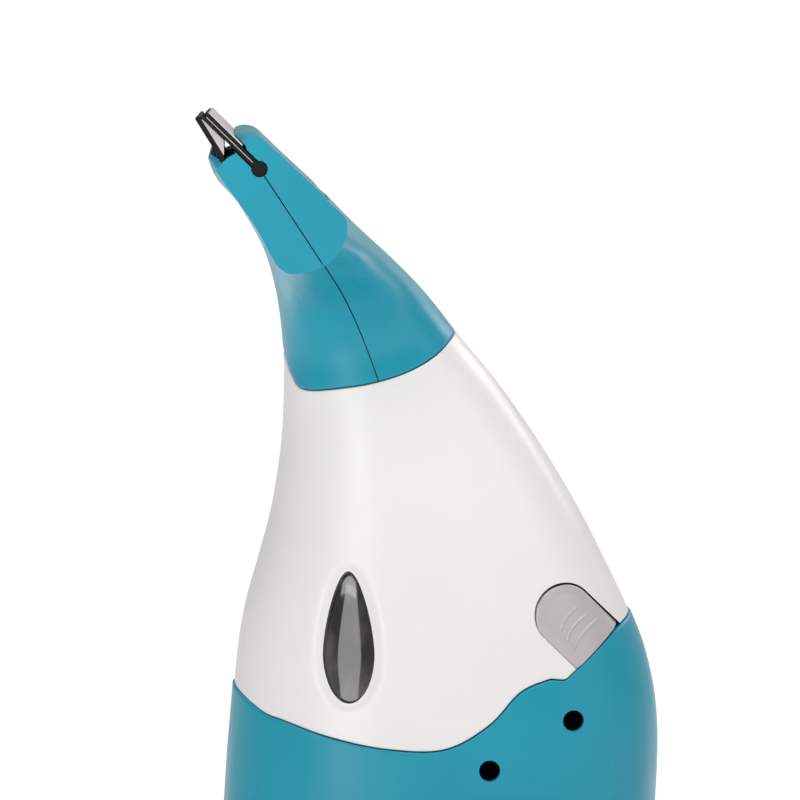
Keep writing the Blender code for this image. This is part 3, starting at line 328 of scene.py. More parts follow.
def prism(name, outline, low, high):
    """A closed prism of an outline in X and Z between two values of Y."""
    outline = np.asarray(outline, float)
    count = len(outline)
    near = np.column_stack((outline[:, 0], np.full(count, low), outline[:, 1]))
    far = np.column_stack((outline[:, 0], np.full(count, high), outline[:, 1]))
    sides = [(k, (k + 1) % count, (k + 1) % count + count, k + count) for k in range(count)]
    faces = [list(range(count)), list(range(count, 2 * count))] + sides
    return mesh_from(name, np.concatenate((near, far)), faces)


def rod(name, start, end, radius, sides=48):
    """A closed cylinder between two points in millimetres."""
    start, end = Vector(start), Vector(end)
    shape = bmesh.new()
    turn = (end - start).to_track_quat("Z", "Y").to_matrix().to_4x4()
    bmesh.ops.create_cone(shape, cap_ends=True, segments=sides, radius1=radius * MM,
                          radius2=radius * MM, depth=(end - start).length * MM,
                          matrix=Matrix.Translation((start + end) / 2 * MM) @ turn)
    mesh = bpy.data.meshes.new(name)
    shape.to_mesh(mesh)
    shape.free()
    return mesh


def apply_boolean(target, operation, mesh):
    """Join or cut target with a mesh, at once, and leave no modifier or tool behind."""
    tool = add_object("tool", mesh)
    cut = target.modifiers.new("cut", "BOOLEAN")
    cut.operation = operation
    cut.solver = "MANIFOLD"
    cut.object = tool
    bpy.context.view_layer.update()
    made = bpy.data.meshes.new_from_object(target.evaluated_get(bpy.context.evaluated_depsgraph_get()))
    old = target.data
    target.modifiers.clear()
    target.data = made
    bpy.data.meshes.remove(old)
    bpy.data.objects.remove(tool, do_unlink=True)


def finish_piece(piece, surface, body, slot, *nodes, smooth_deg=32.0):
    """Shade, paint, and seat a finished piece on its body in place of CAD nodes."""
    piece.data.shade_smooth()
    piece.data.set_sharp_from_angle(angle=math.radians(smooth_deg))
    piece.data.materials.clear()
    piece.data.materials.append(surface)
    if nodes:
        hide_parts(*nodes)
    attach(piece, body)
    return piece


# ---------------------------------------------------------------- materials
def start_material(name, colour, roughness, metallic=0.0, **sockets):
    made = bpy.data.materials.new(name)
    made.use_nodes = True
    tree = made.node_tree
    shader = tree.nodes["Principled BSDF"]
    shader.inputs["Base Color"].default_value = (*colour, 1.0)
    shader.inputs["Roughness"].default_value = roughness
    shader.inputs["Metallic"].default_value = metallic
    for socket, value in sockets.items():
        shader.inputs[socket.replace("_", " ")].default_value = value
    place = tree.nodes.new("ShaderNodeTexCoord")
    return made, tree, shader, place.outputs["Object"]


def noise(tree, place, scale, detail=3.0, stretch=(1.0, 1.0, 1.0)):
    mapping = tree.nodes.new("ShaderNodeMapping")
    mapping.inputs["Scale"].default_value = stretch
    tree.links.new(place, mapping.inputs["Vector"])
    node = tree.nodes.new("ShaderNodeTexNoise")
    node.inputs["Scale"].default_value = scale
    node.inputs["Detail"].default_value = detail
    tree.links.new(mapping.outputs["Vector"], node.inputs["Vector"])
    return node.outputs["Fac"]


def ramp(tree, value, low, high, start=0.35, end=0.65):
    """Map a value to a range of numbers or of colours."""
    node = tree.nodes.new("ShaderNodeMapRange")
    node.inputs["From Min"].default_value = start
    node.inputs["From Max"].default_value = end
    node.inputs["To Min"].default_value = low
    node.inputs["To Max"].default_value = high
    tree.links.new(value, node.inputs["Value"])
    return node.outputs["Result"]


def mix_colour(tree, value, low, high):
    node = tree.nodes.new("ShaderNodeMix")
    node.data_type = "RGBA"
    node.inputs[6].default_value = (*low, 1.0)
    node.inputs[7].default_value = (*high, 1.0)
    tree.links.new(value, node.inputs[0])
    return node.outputs[2]


def add_bump(tree, shader, heights):
    """Chain bumps of (height, distance in metres, strength) into the shader's normal."""
    previous = None
    for height, distance, strength in heights:
        node = tree.nodes.new("ShaderNodeBump")
        node.inputs["Distance"].default_value = distance
        node.inputs["Strength"].default_value = strength
        tree.links.new(height, node.inputs["Height"])
        if previous is not None:
            tree.links.new(previous, node.inputs["Normal"])
        previous = node.outputs["Normal"]
    tree.links.new(previous, shader.inputs["Normal"])


def moulded(name, colour, roughness, grain=0.00002, spread=0.03, coat=0.0, subsurface=0.0, specular=0.5):
    """Moulded plastic: slight cloudiness, a fine grain, and scuffs that change its roughness."""
    made, tree, shader, place = start_material(
        name, colour, roughness, Coat_Weight=coat, Coat_Roughness=0.08,
        Subsurface_Weight=subsurface, Subsurface_Scale=0.003, Specular_IOR_Level=specular)
    cloud = noise(tree, place, 22.0, 2.0)
    darker = tuple(c * (1 - spread) for c in colour)
    lighter = tuple(min(c * (1 + spread), 1.0) for c in colour)
    tree.links.new(mix_colour(tree, ramp(tree, cloud, 0.0, 1.0), darker, lighter),
                   shader.inputs["Base Color"])
    scuffs = noise(tree, place, 90.0, 6.0, (1.0, 1.0, 0.25))
    tree.links.new(ramp(tree, scuffs, roughness * 0.85, roughness * 1.2), shader.inputs["Roughness"])
    fine = noise(tree, place, 2600.0, 2.0)
    sink = noise(tree, place, 45.0, 1.0)
    add_bump(tree, shader, [(fine, grain, 0.5), (sink, 0.00012, 0.25)])
    return made


def rubber(name, colour, roughness=0.5):
    """Rubber: matt, with fine drag lines along Y and a dusty bloom."""
    made, tree, shader, place = start_material(name, colour, roughness, Specular_IOR_Level=0.2)
    bloom = noise(tree, place, 60.0, 5.0)
    tree.links.new(mix_colour(tree, ramp(tree, bloom, 0.0, 1.0), colour,
                              tuple(c * 1.8 + 0.002 for c in colour)), shader.inputs["Base Color"])
    tree.links.new(ramp(tree, bloom, roughness * 0.8, roughness * 1.25), shader.inputs["Roughness"])
    lines = noise(tree, place, 1500.0, 2.0, (1.0, 0.03, 1.0))
    add_bump(tree, shader, [(lines, 0.00003, 0.5)])
    return made


def metal(name, colour, roughness):
    made, tree, shader, place = start_material(name, colour, roughness, 1.0)
    grain = noise(tree, place, 900.0, 3.0, (1.0, 1.0, 0.1))
    tree.links.new(ramp(tree, grain, roughness * 0.7, roughness * 1.4), shader.inputs["Roughness"])
    tree.links.new(mix_colour(tree, grain, tuple(c * 0.85 for c in colour), colour),
                   shader.inputs["Base Color"])
    add_bump(tree, shader, [(grain, 0.00002, 0.4)])
    return made


def smoked_plastic():
    """Smoked clear plastic over a dark, wet tank: deep brown-black with blotches of cloudy limescale."""
    made, tree, shader, place = start_material(
        "smoked_window", (0.02, 0.017, 0.016), 0.09, Coat_Weight=1.0, Coat_Roughness=0.03)
    blotch = noise(tree, place, 170.0, 4.0, (1.0, 1.0, 0.35))
    tree.links.new(mix_colour(tree, ramp(tree, blotch, 0.0, 1.0, 0.45, 0.7), (0.012, 0.010, 0.010),
                              (0.075, 0.066, 0.062)), shader.inputs["Base Color"])
    tree.links.new(ramp(tree, blotch, 0.05, 0.14), shader.inputs["Roughness"])
    swirl = noise(tree, place, 80.0, 2.0)
    add_bump(tree, shader, [(swirl, 0.0003, 0.25)])
    return made


TEAL = moulded("teal_plastic", (0.011, 0.285, 0.395), 0.32, grain=0.00003, spread=0.04,
              specular=0.3)
WHITE = moulded("white_gloss_plastic", (0.80, 0.775, 0.775), 0.34, grain=0.000008, spread=0.012,
                coat=0.12, subsurface=0.05)
BUTTON = moulded("button_plastic", (0.47, 0.435, 0.435), 0.22, grain=0.00002, spread=0.02, coat=0.3)
GREY = moulded("grey_plastic", (0.42, 0.42, 0.43), 0.4, spread=0.04)
PALE = moulded("pale_strip", (0.50, 0.48, 0.48), 0.4, spread=0.05)
# the wedge in the V between lip and blade: its pale colour is painted light, standing in for light seen
# through the gap
V_GAP_PAINTED_LIGHT = moulded("v_gap_painted_light", (0.56, 0.54, 0.54), 0.2, spread=0.03)
BLACK = rubber("black_rubber", (0.005, 0.003, 0.003), 0.5)
TANK = moulded("tank_plastic", (0.65, 0.70, 0.72), 0.3, subsurface=0.2)
DARK = moulded("dark_plastic", (0.045, 0.045, 0.05), 0.45)
SILICONE = rubber("silicone", (0.75, 0.27, 0.10), 0.5)
BOARD = moulded("circuit_board", (0.02, 0.18, 0.06), 0.4)
STEEL = metal("steel", (0.55, 0.55, 0.56), 0.28)
ALUMINIUM = metal("aluminium", (0.62, 0.62, 0.63), 0.42)
SMOKED = smoked_plastic()
BY_SLOT = {"teal": TEAL, "white": WHITE, "grey": GREY, "black_rubber": BLACK, "pale": PALE,
           "smoked": SMOKED, "tank_plastic": TANK, "aluminium": ALUMINIUM, "steel": STEEL,
           "silicone": SILICONE, "board": BOARD, "dark": DARK}
for part in frame["record"]["subparts"]:
    data = NODES[part["node"]].data
    data.materials.clear()
    data.materials.append(BY_SLOT[part["material_slot"]])


# ---------------------------------------------------------------- stage
def make_camera():
    """A long lens, a little above the head and a little to its front."""
    data = bpy.data.cameras.new("camera")
    data.lens = CAMERA_LENS
    data.sensor_width = 36.0
    data.clip_start = 0.05
    data.clip_end = 50.0
    camera = bpy.data.objects.new("camera", data)
    bpy.context.scene.collection.objects.link(camera)
    camera.location = CAMERA_PLACE
    camera.rotation_mode = "QUATERNION"
    camera.rotation_quaternion = (Vector(CAMERA_AIM) - Vector(CAMERA_PLACE)).to_track_quat("-Z", "Y")
    bpy.context.scene.camera = camera


def area_light(name, place, aim, size, power):
    data = bpy.data.lights.new(name, "AREA")
    data.shape = "RECTANGLE"
    data.size, data.size_y = size
    data.energy = power
    made = bpy.data.objects.new(name, data)
    bpy.context.scene.collection.objects.link(made)
    made.location = place
    made.rotation_mode = "QUATERNION"
    made.rotation_quaternion = (Vector(aim) - Vector(place)).to_track_quat("-Z", "Y")


def make_world():
    """A white backdrop for the camera; for light, a softer surround, brighter below and to +X."""
    world = bpy.data.worlds.new("studio")
    bpy.context.scene.world = world
    world.use_nodes = True
    tree = world.node_tree
    tree.nodes.clear()
    output = tree.nodes.new("ShaderNodeOutputWorld")
    backdrop = tree.nodes.new("ShaderNodeBackground")
    backdrop.inputs["Color"].default_value = (1.0, 1.0, 1.0, 1.0)
    backdrop.inputs["Strength"].default_value = BACKDROP_STRENGTH
    surround = tree.nodes.new("ShaderNodeBackground")
    surround.inputs["Color"].default_value = (1.0, 0.985, 0.985, 1.0)
    direction = tree.nodes.new("ShaderNodeSeparateXYZ")
    tree.links.new(tree.nodes.new("ShaderNodeTexCoord").outputs["Generated"], direction.inputs[0])
    product = tree.nodes.new("ShaderNodeMath")
    product.operation = "MULTIPLY"
    tree.links.new(ramp(tree, direction.outputs["Z"], 1.5, 0.36, -0.35, 0.1), product.inputs[0])
    tree.links.new(ramp(tree, direction.outputs["X"], 0.85, 1.15, -0.9, 0.9), product.inputs[1])
    tree.links.new(product.outputs["Value"], surround.inputs["Strength"])
    mix = tree.nodes.new("ShaderNodeMixShader")
    path = tree.nodes.new("ShaderNodeLightPath")
    tree.links.new(path.outputs["Is Camera Ray"], mix.inputs["Fac"])
    tree.links.new(surround.outputs["Background"], mix.inputs[1])
    tree.links.new(backdrop.outputs["Background"], mix.inputs[2])
    tree.links.new(mix.outputs["Shader"], output.inputs["Surface"])


def make_floor():
    """A pale round floor that fades out towards its rim."""
    shape = bmesh.new()
    bmesh.ops.create_circle(shape, cap_ends=True, segments=96, radius=FLOOR_RADIUS)
    mesh = bpy.data.meshes.new("floor")
    shape.to_mesh(mesh)
    shape.free()
    floor = add_object("floor", mesh)
    made, tree, shader, place = start_material("floor", (0.86, 0.86, 0.86), 0.6)
    fade = tree.nodes.new("ShaderNodeVectorMath")
    fade.operation = "LENGTH"
    tree.links.new(place, fade.inputs[0])
    tree.links.new(ramp(tree, fade.outputs["Value"], 1.0, 0.0, 0.3, 0.69), shader.inputs["Alpha"])
    mesh.materials.append(made)


make_camera()
make_world()
make_floor()
for light in LIGHTS:
    area_light(*light)
bpy.context.scene.view_settings.view_transform = "Standard"


# ---------------------------------------------------------------- white upper shells
def teardrop(grow, steps=160):
    """The window's outline, pointed at its top."""
    angle = np.linspace(0.0, 2 * math.pi, steps, endpoint=False)
    height = np.sin(angle)
    reach = np.where(height > 0, WINDOW_TOP - WINDOW_CENTRE[1], WINDOW_CENTRE[1] - WINDOW_BOTTOM)
    narrowing = 1 - 0.28 * np.maximum(height, 0.0) ** 1.2
    return np.column_stack((WINDOW_CENTRE[0] + (WINDOW_RADIUS * narrowing + grow) * np.cos(angle),
                            WINDOW_CENTRE[1] + (reach + grow) * height))


def outline_distance(points, outline):
    """Distances of points in X and Z to a closed outline, negative inside it."""
    start, end = outline, np.roll(outline, -1, axis=0)
    along = end - start
    flat = points.reshape(-1, 2)
    result = np.empty(len(flat))
    for first in range(0, len(flat), 4000):
        part = flat[first:first + 4000, None, :]
        share = np.clip(((part - start) * along).sum(-1) / (along ** 2).sum(-1), 0, 1)
        near = np.linalg.norm(part - (start + share[..., None] * along), axis=-1).min(axis=1)
        crosses = ((start[:, 1] > part[..., 1]) != (end[:, 1] > part[..., 1])) & (
            part[..., 0] < start[:, 0] + (part[..., 1] - start[:, 1]) * along[:, 0]
            / np.where(along[:, 1] == 0, 1e-9, along[:, 1]))
        inside = crosses.sum(axis=1) % 2 == 1
        result[first:first + 4000] = np.where(inside, -near, near)
    return result.reshape(points.shape[:-1])


def button_outline(grow, tail, steps=48):
    """Half circle at the free end and two straight sides down past the seam."""
    heading = math.degrees(math.atan2(BUTTON_DIRECTION[1], BUTTON_DIRECTION[0]))
    radius = BUTTON_RADIUS + grow
    points = arc(BUTTON_CENTRE, radius, heading + 90, heading + 270, steps)
    end = BUTTON_CENTRE + BUTTON_DIRECTION * tail
    side = np.array((-BUTTON_DIRECTION[1], BUTTON_DIRECTION[0])) * radius
    return np.vstack((points, [end - side, end + side]))


def make_upper_shell(name, side):
    """One white half shell: rolled seams, a dished window hole and the button's pocket."""
    points, depth = skin(0.0, offset_line(lower_seam, GAP / 2), offset_line(neck_seam, -GAP / 2),
                         240, 150)
    normal = grid_normals(points)
    inner = points - normal * WALL
    near_window = outline_distance(points[..., [0, 2]], teardrop(0.0))
    fall = np.clip(1 - near_window / DISH_REACH, 0.0, 1.0)
    dish = DISH_DEPTH * fall ** 2 * (3 - 2 * fall)
    outer = points - normal * (depth + dish)[..., None]
    middle_edge = np.zeros(points.shape[:2])
    middle_edge[:, 0] = middle_edge[:, -1] = 0.3
    outer = outer - normal * middle_edge[..., None]
    for net in (outer, inner):
        net[..., 1] = np.minimum(net[..., 1], -GAP / 2)
    shell = add_object(name, mesh_from(name, *closed_shell(outer, inner), side=side))
    low, high = sorted((side * 20.0, side * BEYOND))
    apply_boolean(shell, "DIFFERENCE", prism("hole", teardrop(GAP), low, high))
    low, high = sorted((side * 19.0, side * BEYOND))
    apply_boolean(shell, "DIFFERENCE", prism("pocket", button_outline(POCKET_GROWTH, 24.0), low, high))
    return shell


# ---------------------------------------------------------------- nozzle
def closed_tube(outer, inner):
    """A closed mesh between two nets that wrap round, open at their two ends until here."""
    rows, columns = outer.shape[:2]
    count = rows * columns
    index = np.arange(count).reshape(rows, columns)
    following = np.roll(index, -1, axis=1)
    a, b, c, d = index[:-1], following[:-1], following[1:], index[1:]
    front = np.stack((a, b, c, d), -1).reshape(-1, 4)
    back = (np.stack((d, c, b, a), -1) + count).reshape(-1, 4)
    low = np.stack((following[0], index[0], index[0] + count, following[0] + count), -1)
    high = np.stack((index[-1], following[-1], following[-1] + count, index[-1] + count), -1)
    return np.concatenate((outer.reshape(-1, 3), inner.reshape(-1, 3))), np.concatenate(
        (front, back, low, high))


def closed_loft(rings):
    """A closed mesh through rings of points, with a flat face on the first and the last."""
    rings = np.asarray(rings)
    rows, columns = rings.shape[:2]
    index = np.arange(rows * columns).reshape(rows, columns)
    following = np.roll(index, -1, axis=1)
    sides = np.stack((index[:-1], following[:-1], following[1:], index[1:]), -1).reshape(-1, 4)
    return rings.reshape(-1, 3), [list(face) for face in sides] + [list(index[0]), list(index[-1])]


def fine_outline(outline, corners, steps):
    """A closed outline drawn through its points, smooth but for the corners given."""
    runs = []
    for start, end in zip(corners, corners[1:] + (corners[0] + len(outline),)):
        run = outline[np.arange(start, end + 1) % len(outline)]
        runs.append(smooth_line(run, steps)[:-1])
    return np.vstack(runs)


def grown(ring, distance):
    """Move a closed outline outwards."""
    ring = np.asarray(ring, float)
    following = np.roll(ring, -1, axis=0)
    area = np.sum(ring[:, 0] * following[:, 1] - following[:, 0] * ring[:, 1])
    along = following - np.roll(ring, 1, axis=0)
    along /= np.linalg.norm(along, axis=1)[:, None]
    return ring + np.column_stack((along[:, 1], -along[:, 0])) * distance * math.copysign(1.0, area)


def head_bar():
    end = fine_outline(HEAD_OUTLINE[:, :2], HEAD_CORNERS, 5)
    middle = fine_outline(HEAD_OUTLINE[:, 2:], HEAD_CORNERS, 5)
    rings = []
    stations = [(-y, growth, bow) for y, growth, bow in HEAD_STATIONS] + HEAD_STATIONS[::-1]
    for y, growth, bow in stations:
        ring = grown(end + (middle - end) * bow, growth)
        rings.append(np.column_stack((ring[:, 0], np.full(len(ring), y), ring[:, 1])))
    return mesh_from("head_bar", *closed_loft(rings))


def funnel():
    """The neck's thick wall from the seam with the white shells up into the head bar."""
    points, depth = skin(0.0, offset_line(neck_seam, GAP / 2), None, 130, 110, FIRST_NECK_SECTION)
    depth[-5:] = 0.0
    normal = grid_normals(points)
    outer, inner = points - normal * depth[..., None], points - normal * WALL
    wrap = [np.concatenate((net, (net * (1, -1, 1))[:, -2:0:-1]), axis=1) for net in (outer, inner)]
    return mesh_from("funnel", *closed_tube(*wrap))


blade_along = (BLADE_TIP - BULB) / np.linalg.norm(BLADE_TIP - BULB)
blade_across = np.array((blade_along[1], -blade_along[0]))


def blade_point(along, across):
    """A point of the blade's own frame: along from the bulb, across towards its upper face."""
    return BULB + blade_along * along + blade_across * across


def nozzle_region(front):
    """Outline of the front or the rear half, split along the blade and the joint line."""
    joint = smooth_line(PARTING, 10)
    split = np.vstack(([BULB + blade_along * 60.0], joint))
    line = offset_line(split, -GAP / 2 if front else GAP / 2)
    outer = [(-130.0, 360.0), (-130.0, 230.0)] if front else [(90.0, 380.0), (90.0, 230.0)]
    return np.vstack((line[::-1], outer))


def make_nozzle():
    reach = HEAD_HALF_LENGTH + 5.0
    half = LEAF + LEAF_SLIT / 2 + GAP
    above_strip = half + STRIP_THICKNESS + GAP
    slot = [blade_point(0.0, -half), blade_point(30.0, -half), blade_point(30.0, above_strip),
            blade_point(STRIP_START - 0.5, above_strip), blade_point(STRIP_START - 1.5, half),
            blade_point(0.0, half)]
    along = (LIP_TIP - LIP_ROOT) / np.linalg.norm(LIP_TIP - LIP_ROOT)
    across = np.array((-along[1], along[0])) * (LIP_THICKNESS / 2 + GAP)
    end = LIP_ROOT - along * GAP
    groove = [end - across, end + across, end + across + along * 9.0, end - across + along * 9.0]
    for front, label in ((True, "front"), (False, "rear")):
        node = f"nozzle_{label}_shell"
        bar = add_object("head_" + label, head_bar())
        apply_boolean(bar, "INTERSECT", prism("half", nozzle_region(front), -reach, reach))
        inside = HEAD_HALF_LENGTH - HEAD_WALL
        apply_boolean(bar, "DIFFERENCE", prism("room", HEAD_CAVITY, -inside, inside))
        apply_boolean(bar, "DIFFERENCE", prism("slot", slot, -reach, reach))
        apply_boolean(bar, "DIFFERENCE", rod("bulb", (BULB[0], -reach, BULB[1]),
                                             (BULB[0], reach, BULB[1]), BULB_RADIUS + 0.12, 64))
        if front:
            lip_reach = LIP_HALF_LENGTH + GAP
            apply_boolean(bar, "DIFFERENCE", prism("groove", groove, -lip_reach, lip_reach))
        finish_piece(bar, TEAL, "casing", "teal", node, smooth_deg=14.0)
        neck = add_object("neck_" + label, funnel())
        apply_boolean(neck, "INTERSECT", prism("half", nozzle_region(front), -reach, reach))
        finish_piece(neck, TEAL, "casing", "teal", node)


def strip_mesh(name, outline, half_length, edge=0.12):
    """A long profile along Y with its end edges eased."""
    outline = np.asarray(outline, float)
    area = np.sum(outline[:, 0] * np.roll(outline[:, 1], -1) - np.roll(outline[:, 0], -1) * outline[:, 1])
    if area < 0:
        outline = outline[::-1]
    rings = []
    for y, growth in ((-half_length, -edge), (-half_length + edge, 0.0), (half_length - edge, 0.0),
                      (half_length, -edge)):
        ring = grown(outline, growth)
        rings.append(np.column_stack((ring[:, 0], np.full(len(ring), y), ring[:, 1])))
    return mesh_from(name, *closed_loft(rings))


def make_squeegee():
    """Two thin leaves on a bulb, the pale strip on them, the front lip, and a pale wedge in the V, painted
    light for the light seen through the gap.
    """
    length = np.linalg.norm(BLADE_TIP - BULB)
    half = LEAF + LEAF_SLIT / 2
    heading = math.degrees(math.atan2(blade_along[1], blade_along[0]))
    neck = math.degrees(math.asin(half / BULB_RADIUS))
    bulb = arc(BULB, BULB_RADIUS, heading - neck, heading - 360 + neck, 40)
    round_tip = 0.3
    outline = np.vstack((
        bulb, [blade_point(length - round_tip, -half), blade_point(length, -half + round_tip),
               blade_point(length, -LEAF_SLIT / 2), blade_point(BULB_RADIUS + 0.4, -LEAF_SLIT / 2),
               blade_point(BULB_RADIUS + 0.4, LEAF_SLIT / 2), blade_point(length, LEAF_SLIT / 2),
               blade_point(length, half - round_tip), blade_point(length - round_tip, half)]))
    blade = add_object("squeegee_leaves", strip_mesh("squeegee_leaves", outline, BLADE_HALF_LENGTH, 0.1))
    finish_piece(blade, BLACK, "casing", "black_rubber", "squeegee_blade")
    liner = [blade_point(BULB_RADIUS + 0.5, -0.1), blade_point(length - 0.8, -0.1),
             blade_point(length - 0.8, 0.1), blade_point(BULB_RADIUS + 0.5, 0.1)]
    liner = add_object("leaf_liner", strip_mesh("leaf_liner", liner, BLADE_HALF_LENGTH - 0.05, 0.02))
    finish_piece(liner, PALE, "casing", "pale")
    low, high = half + GAP * 0.5, half + GAP + STRIP_THICKNESS
    end = length - STRIP_SHORT_OF_TIP
    strip = [blade_point(STRIP_START, low), blade_point(end, low), blade_point(end, high - 0.25),
             blade_point(end - 0.25, high), blade_point(STRIP_START + 0.3, high)]
    strip = add_object("pale_strip", strip_mesh("pale_strip", strip, BLADE_HALF_LENGTH, 0.1))
    finish_piece(strip, PALE, "casing", "pale", "blade_backing_strip")
    along = (LIP_TIP - LIP_ROOT) / np.linalg.norm(LIP_TIP - LIP_ROOT)
    across = np.array((along[1], -along[0]))
    half = LIP_THICKNESS / 2
    turn = math.degrees(math.atan2(across[1], across[0]))
    tip = arc(LIP_TIP - along * half, half, turn, turn + 180, 16)
    outline = np.vstack(([LIP_ROOT - across * half, LIP_ROOT + across * half], tip))
    lip = add_object("steam_lip", strip_mesh("steam_lip", outline, LIP_HALF_LENGTH, 0.12))
    finish_piece(lip, BLACK, "casing", "black_rubber", "front_lip")
    length = np.linalg.norm(LIP_TIP - LIP_ROOT)
    low, blade_face = half + GAP * 0.3, -(LEAF + LEAF_SLIT / 2 + GAP * 0.4)
    # the pale wedge in the V is painted light: it stands in for the light seen through the gap between lip
    # and blade
    pad = [LIP_ROOT + along * LIP_PAD_START + across * low, blade_point(PAD_ON_BLADE[0], blade_face),
           blade_point(PAD_ON_BLADE[1], blade_face), LIP_ROOT + along * (length - 1.4) + across * low]
    pad = add_object("lip_pad", strip_mesh("lip_pad", pad, LIP_HALF_LENGTH, 0.1))
    finish_piece(pad, V_GAP_PAINTED_LIGHT, "casing", "pale", "front_lip_pad")


# ---------------------------------------------------------------- form where the sections lie level
LEVEL = smooth_line([section for section in SECTIONS if section[1] == section[3]], 10)


def casing_y(x, z, offset):
    """Where the left side of the casing lies at x and z, moved outwards by offset."""
    front = np.interp(z, LEVEL[:, 1], LEVEL[:, 0])
    rear = np.interp(z, LEVEL[:, 1], LEVEL[:, 2])
    width = np.interp(z, LEVEL[:, 1], LEVEL[:, 4]) + offset
    share = np.abs((x - (front + rear) / 2) / ((rear - front) / 2 + offset))
    return -width * np.maximum(1 - np.minimum(share, 1.0) ** POWER, 1e-6) ** (1 / POWER)


def casing_normal(x, z):
    step = 0.05
    slope_x = (casing_y(x + step, z, 0.0) - casing_y(x - step, z, 0.0)) / (2 * step)
    slope_z = (casing_y(x, z + step, 0.0) - casing_y(x, z - step, 0.0)) / (2 * step)
    normal = np.stack((slope_x, -np.ones_like(slope_x), slope_z), -1)
    return normal / np.linalg.norm(normal, axis=-1)[..., None]


def on_casing(x, z, offset):
    """Points over the casing's left side, offset along its normal."""
    base = np.stack((x, casing_y(x, z, 0.0), z), -1)
    return base + casing_normal(x, z) * np.asarray(offset)[..., None]


def make_lens(label, side):
    """A smoked lens, domed a little, at the bottom of its dish."""
    share = np.concatenate((np.linspace(0.0, 0.9, 26), np.linspace(0.91, 1.0, 14)))
    rim = teardrop(0.15, 160)
    centre = np.array(WINDOW_CENTRE)
    flat = centre + share[:, None, None] * (rim - centre)
    roll = 0.9 * np.maximum(1 - (1 - share) / 0.05, 0.0) ** 2
    dome = -DISH_DEPTH - 0.1 + 0.4 * (1 - share ** 3) - roll
    outer = on_casing(flat[..., 0], flat[..., 1], np.repeat(dome[:, None], len(rim), axis=1))
    inner = outer.copy()
    inner[..., 1] = np.maximum(outer[..., 1] + 0.6, -33.9)
    lens = add_object(f"level_window_{label}", mesh_from("lens", *closed_tube(outer, inner), side=side))
    finish_piece(lens, SMOKED, "casing", "smoked", f"window_lens_{label}", smooth_deg=50.0)


RIBS = [smooth_line(points, 8) for points in RIB_POINTS]


def line_distance(points, line):
    """Distances of points in X and Z to an open line."""
    start, end = line[:-1], line[1:]
    along = end - start
    part = points[..., None, :]
    share = np.clip(((part - start) * along).sum(-1) / (along ** 2).sum(-1), 0, 1)
    return np.linalg.norm(part - (start + share[..., None] * along), axis=-1).min(axis=-1)


def button_net(grow):
    """Places in X and Z over the button, and their distances in from its free edge."""
    turn = np.linspace(-math.pi / 2, math.pi / 2, 91)
    radius = BUTTON_RADIUS + grow
    across, start = np.sin(turn) * radius, -np.cos(turn) * radius
    square = np.array((-BUTTON_DIRECTION[1], BUTTON_DIRECTION[0]))
    seam = offset_line(LOWER_SEAM_REAR[:2], 2.0 * GAP)
    along_seam = (seam[1] - seam[0]) / np.linalg.norm(seam[1] - seam[0])
    seam_normal = np.array((-along_seam[1], along_seam[0]))
    base = BUTTON_CENTRE + across[:, None] * square
    end = (seam[0] - base) @ seam_normal / (BUTTON_DIRECTION @ seam_normal)
    share = np.concatenate((np.linspace(0, 0.1, 24), np.linspace(0.1, 1.0, 84)[1:]))
    run = start + share[:, None] * (end - start)
    places = base + run[..., None] * BUTTON_DIRECTION
    inwards = np.where(run < 0, radius - np.hypot(run, across), radius - np.abs(across))
    return places, np.maximum(inwards, 0.0)


def make_button(label, side):
    """The release button: a chamfered pad with three raised ribs and a skirt in its slot."""
    places, inwards = button_net(PAD_GROWTH)
    ease = np.clip(1 - inwards / 0.5, 0.0, 1.0)
    chamfer = CHAMFER_DEPTH * np.clip(1 - inwards / CHAMFER_WIDTH, 0, 1)
    height = PAD_FACE - 0.2 * (1 - np.sqrt(1 - ease ** 2)) - chamfer
    for rib in RIBS:
        near = np.clip(1 - line_distance(places, rib) / RIB_REACH, 0.0, 1.0)
        height = height + RIB_HEIGHT * near ** 2 * (3 - 2 * near)
    outer = on_casing(places[..., 0], places[..., 1], height)
    inner = on_casing(places[..., 0], places[..., 1], np.full(height.shape, -2.6))
    pad_parts = closed_shell(outer, inner)
    rim = button_net(SKIRT_GROWTH)[0] + BUTTON_DIRECTION * SKIRT_SETBACK
    top = on_casing(rim[..., 0], rim[..., 1], np.full(rim.shape[:2], -0.6))
    bottom = on_casing(rim[..., 0], rim[..., 1], np.full(rim.shape[:2], -2.4))
    skirt_parts = closed_shell(top[::4, ::2], bottom[::4, ::2])
    points = np.concatenate((pad_parts[0], skirt_parts[0]))
    faces = np.concatenate((pad_parts[1], skirt_parts[1] + len(pad_parts[0])))
    middle = BUTTON_CENTRE + BUTTON_DIRECTION * BUTTON_HINGE_REACH
    pivot = Vector((middle[0], side * BUTTON_HINGE_Y, middle[1])) * MM
    mesh = mesh_from("button", points, faces, side=side)
    hinge = Vector((-BUTTON_DIRECTION[1], 0.0, BUTTON_DIRECTION[0]))
    lift = Matrix.Rotation(-side * math.radians(BUTTON_LIFT_DEG), 4, hinge)
    mesh.transform(Matrix.Translation(pivot) @ lift @ Matrix.Translation(-pivot))
    button = add_object(f"release_pad_{label}", mesh)
    finish_piece(button, BUTTON, f"{label}_button", "white", f"release_button_{label}")


# ---------------------------------------------------------------- teal lower shells
def rounded(corners, radius, steps=10):
    """A closed outline with each corner replaced by a short curve."""
    corners = np.asarray(corners, float)
    outline = []
    for index, here in enumerate(corners):
        before, after = corners[index - 1], corners[(index + 1) % len(corners)]
        start = here + (before - here) / np.linalg.norm(before - here) * radius
        end = here + (after - here) / np.linalg.norm(after - here) * radius
        for t in np.linspace(0, 1, steps + 1):
            outline.append((1 - t) ** 2 * start + 2 * t * (1 - t) * here + t ** 2 * end)
    return np.array(outline)


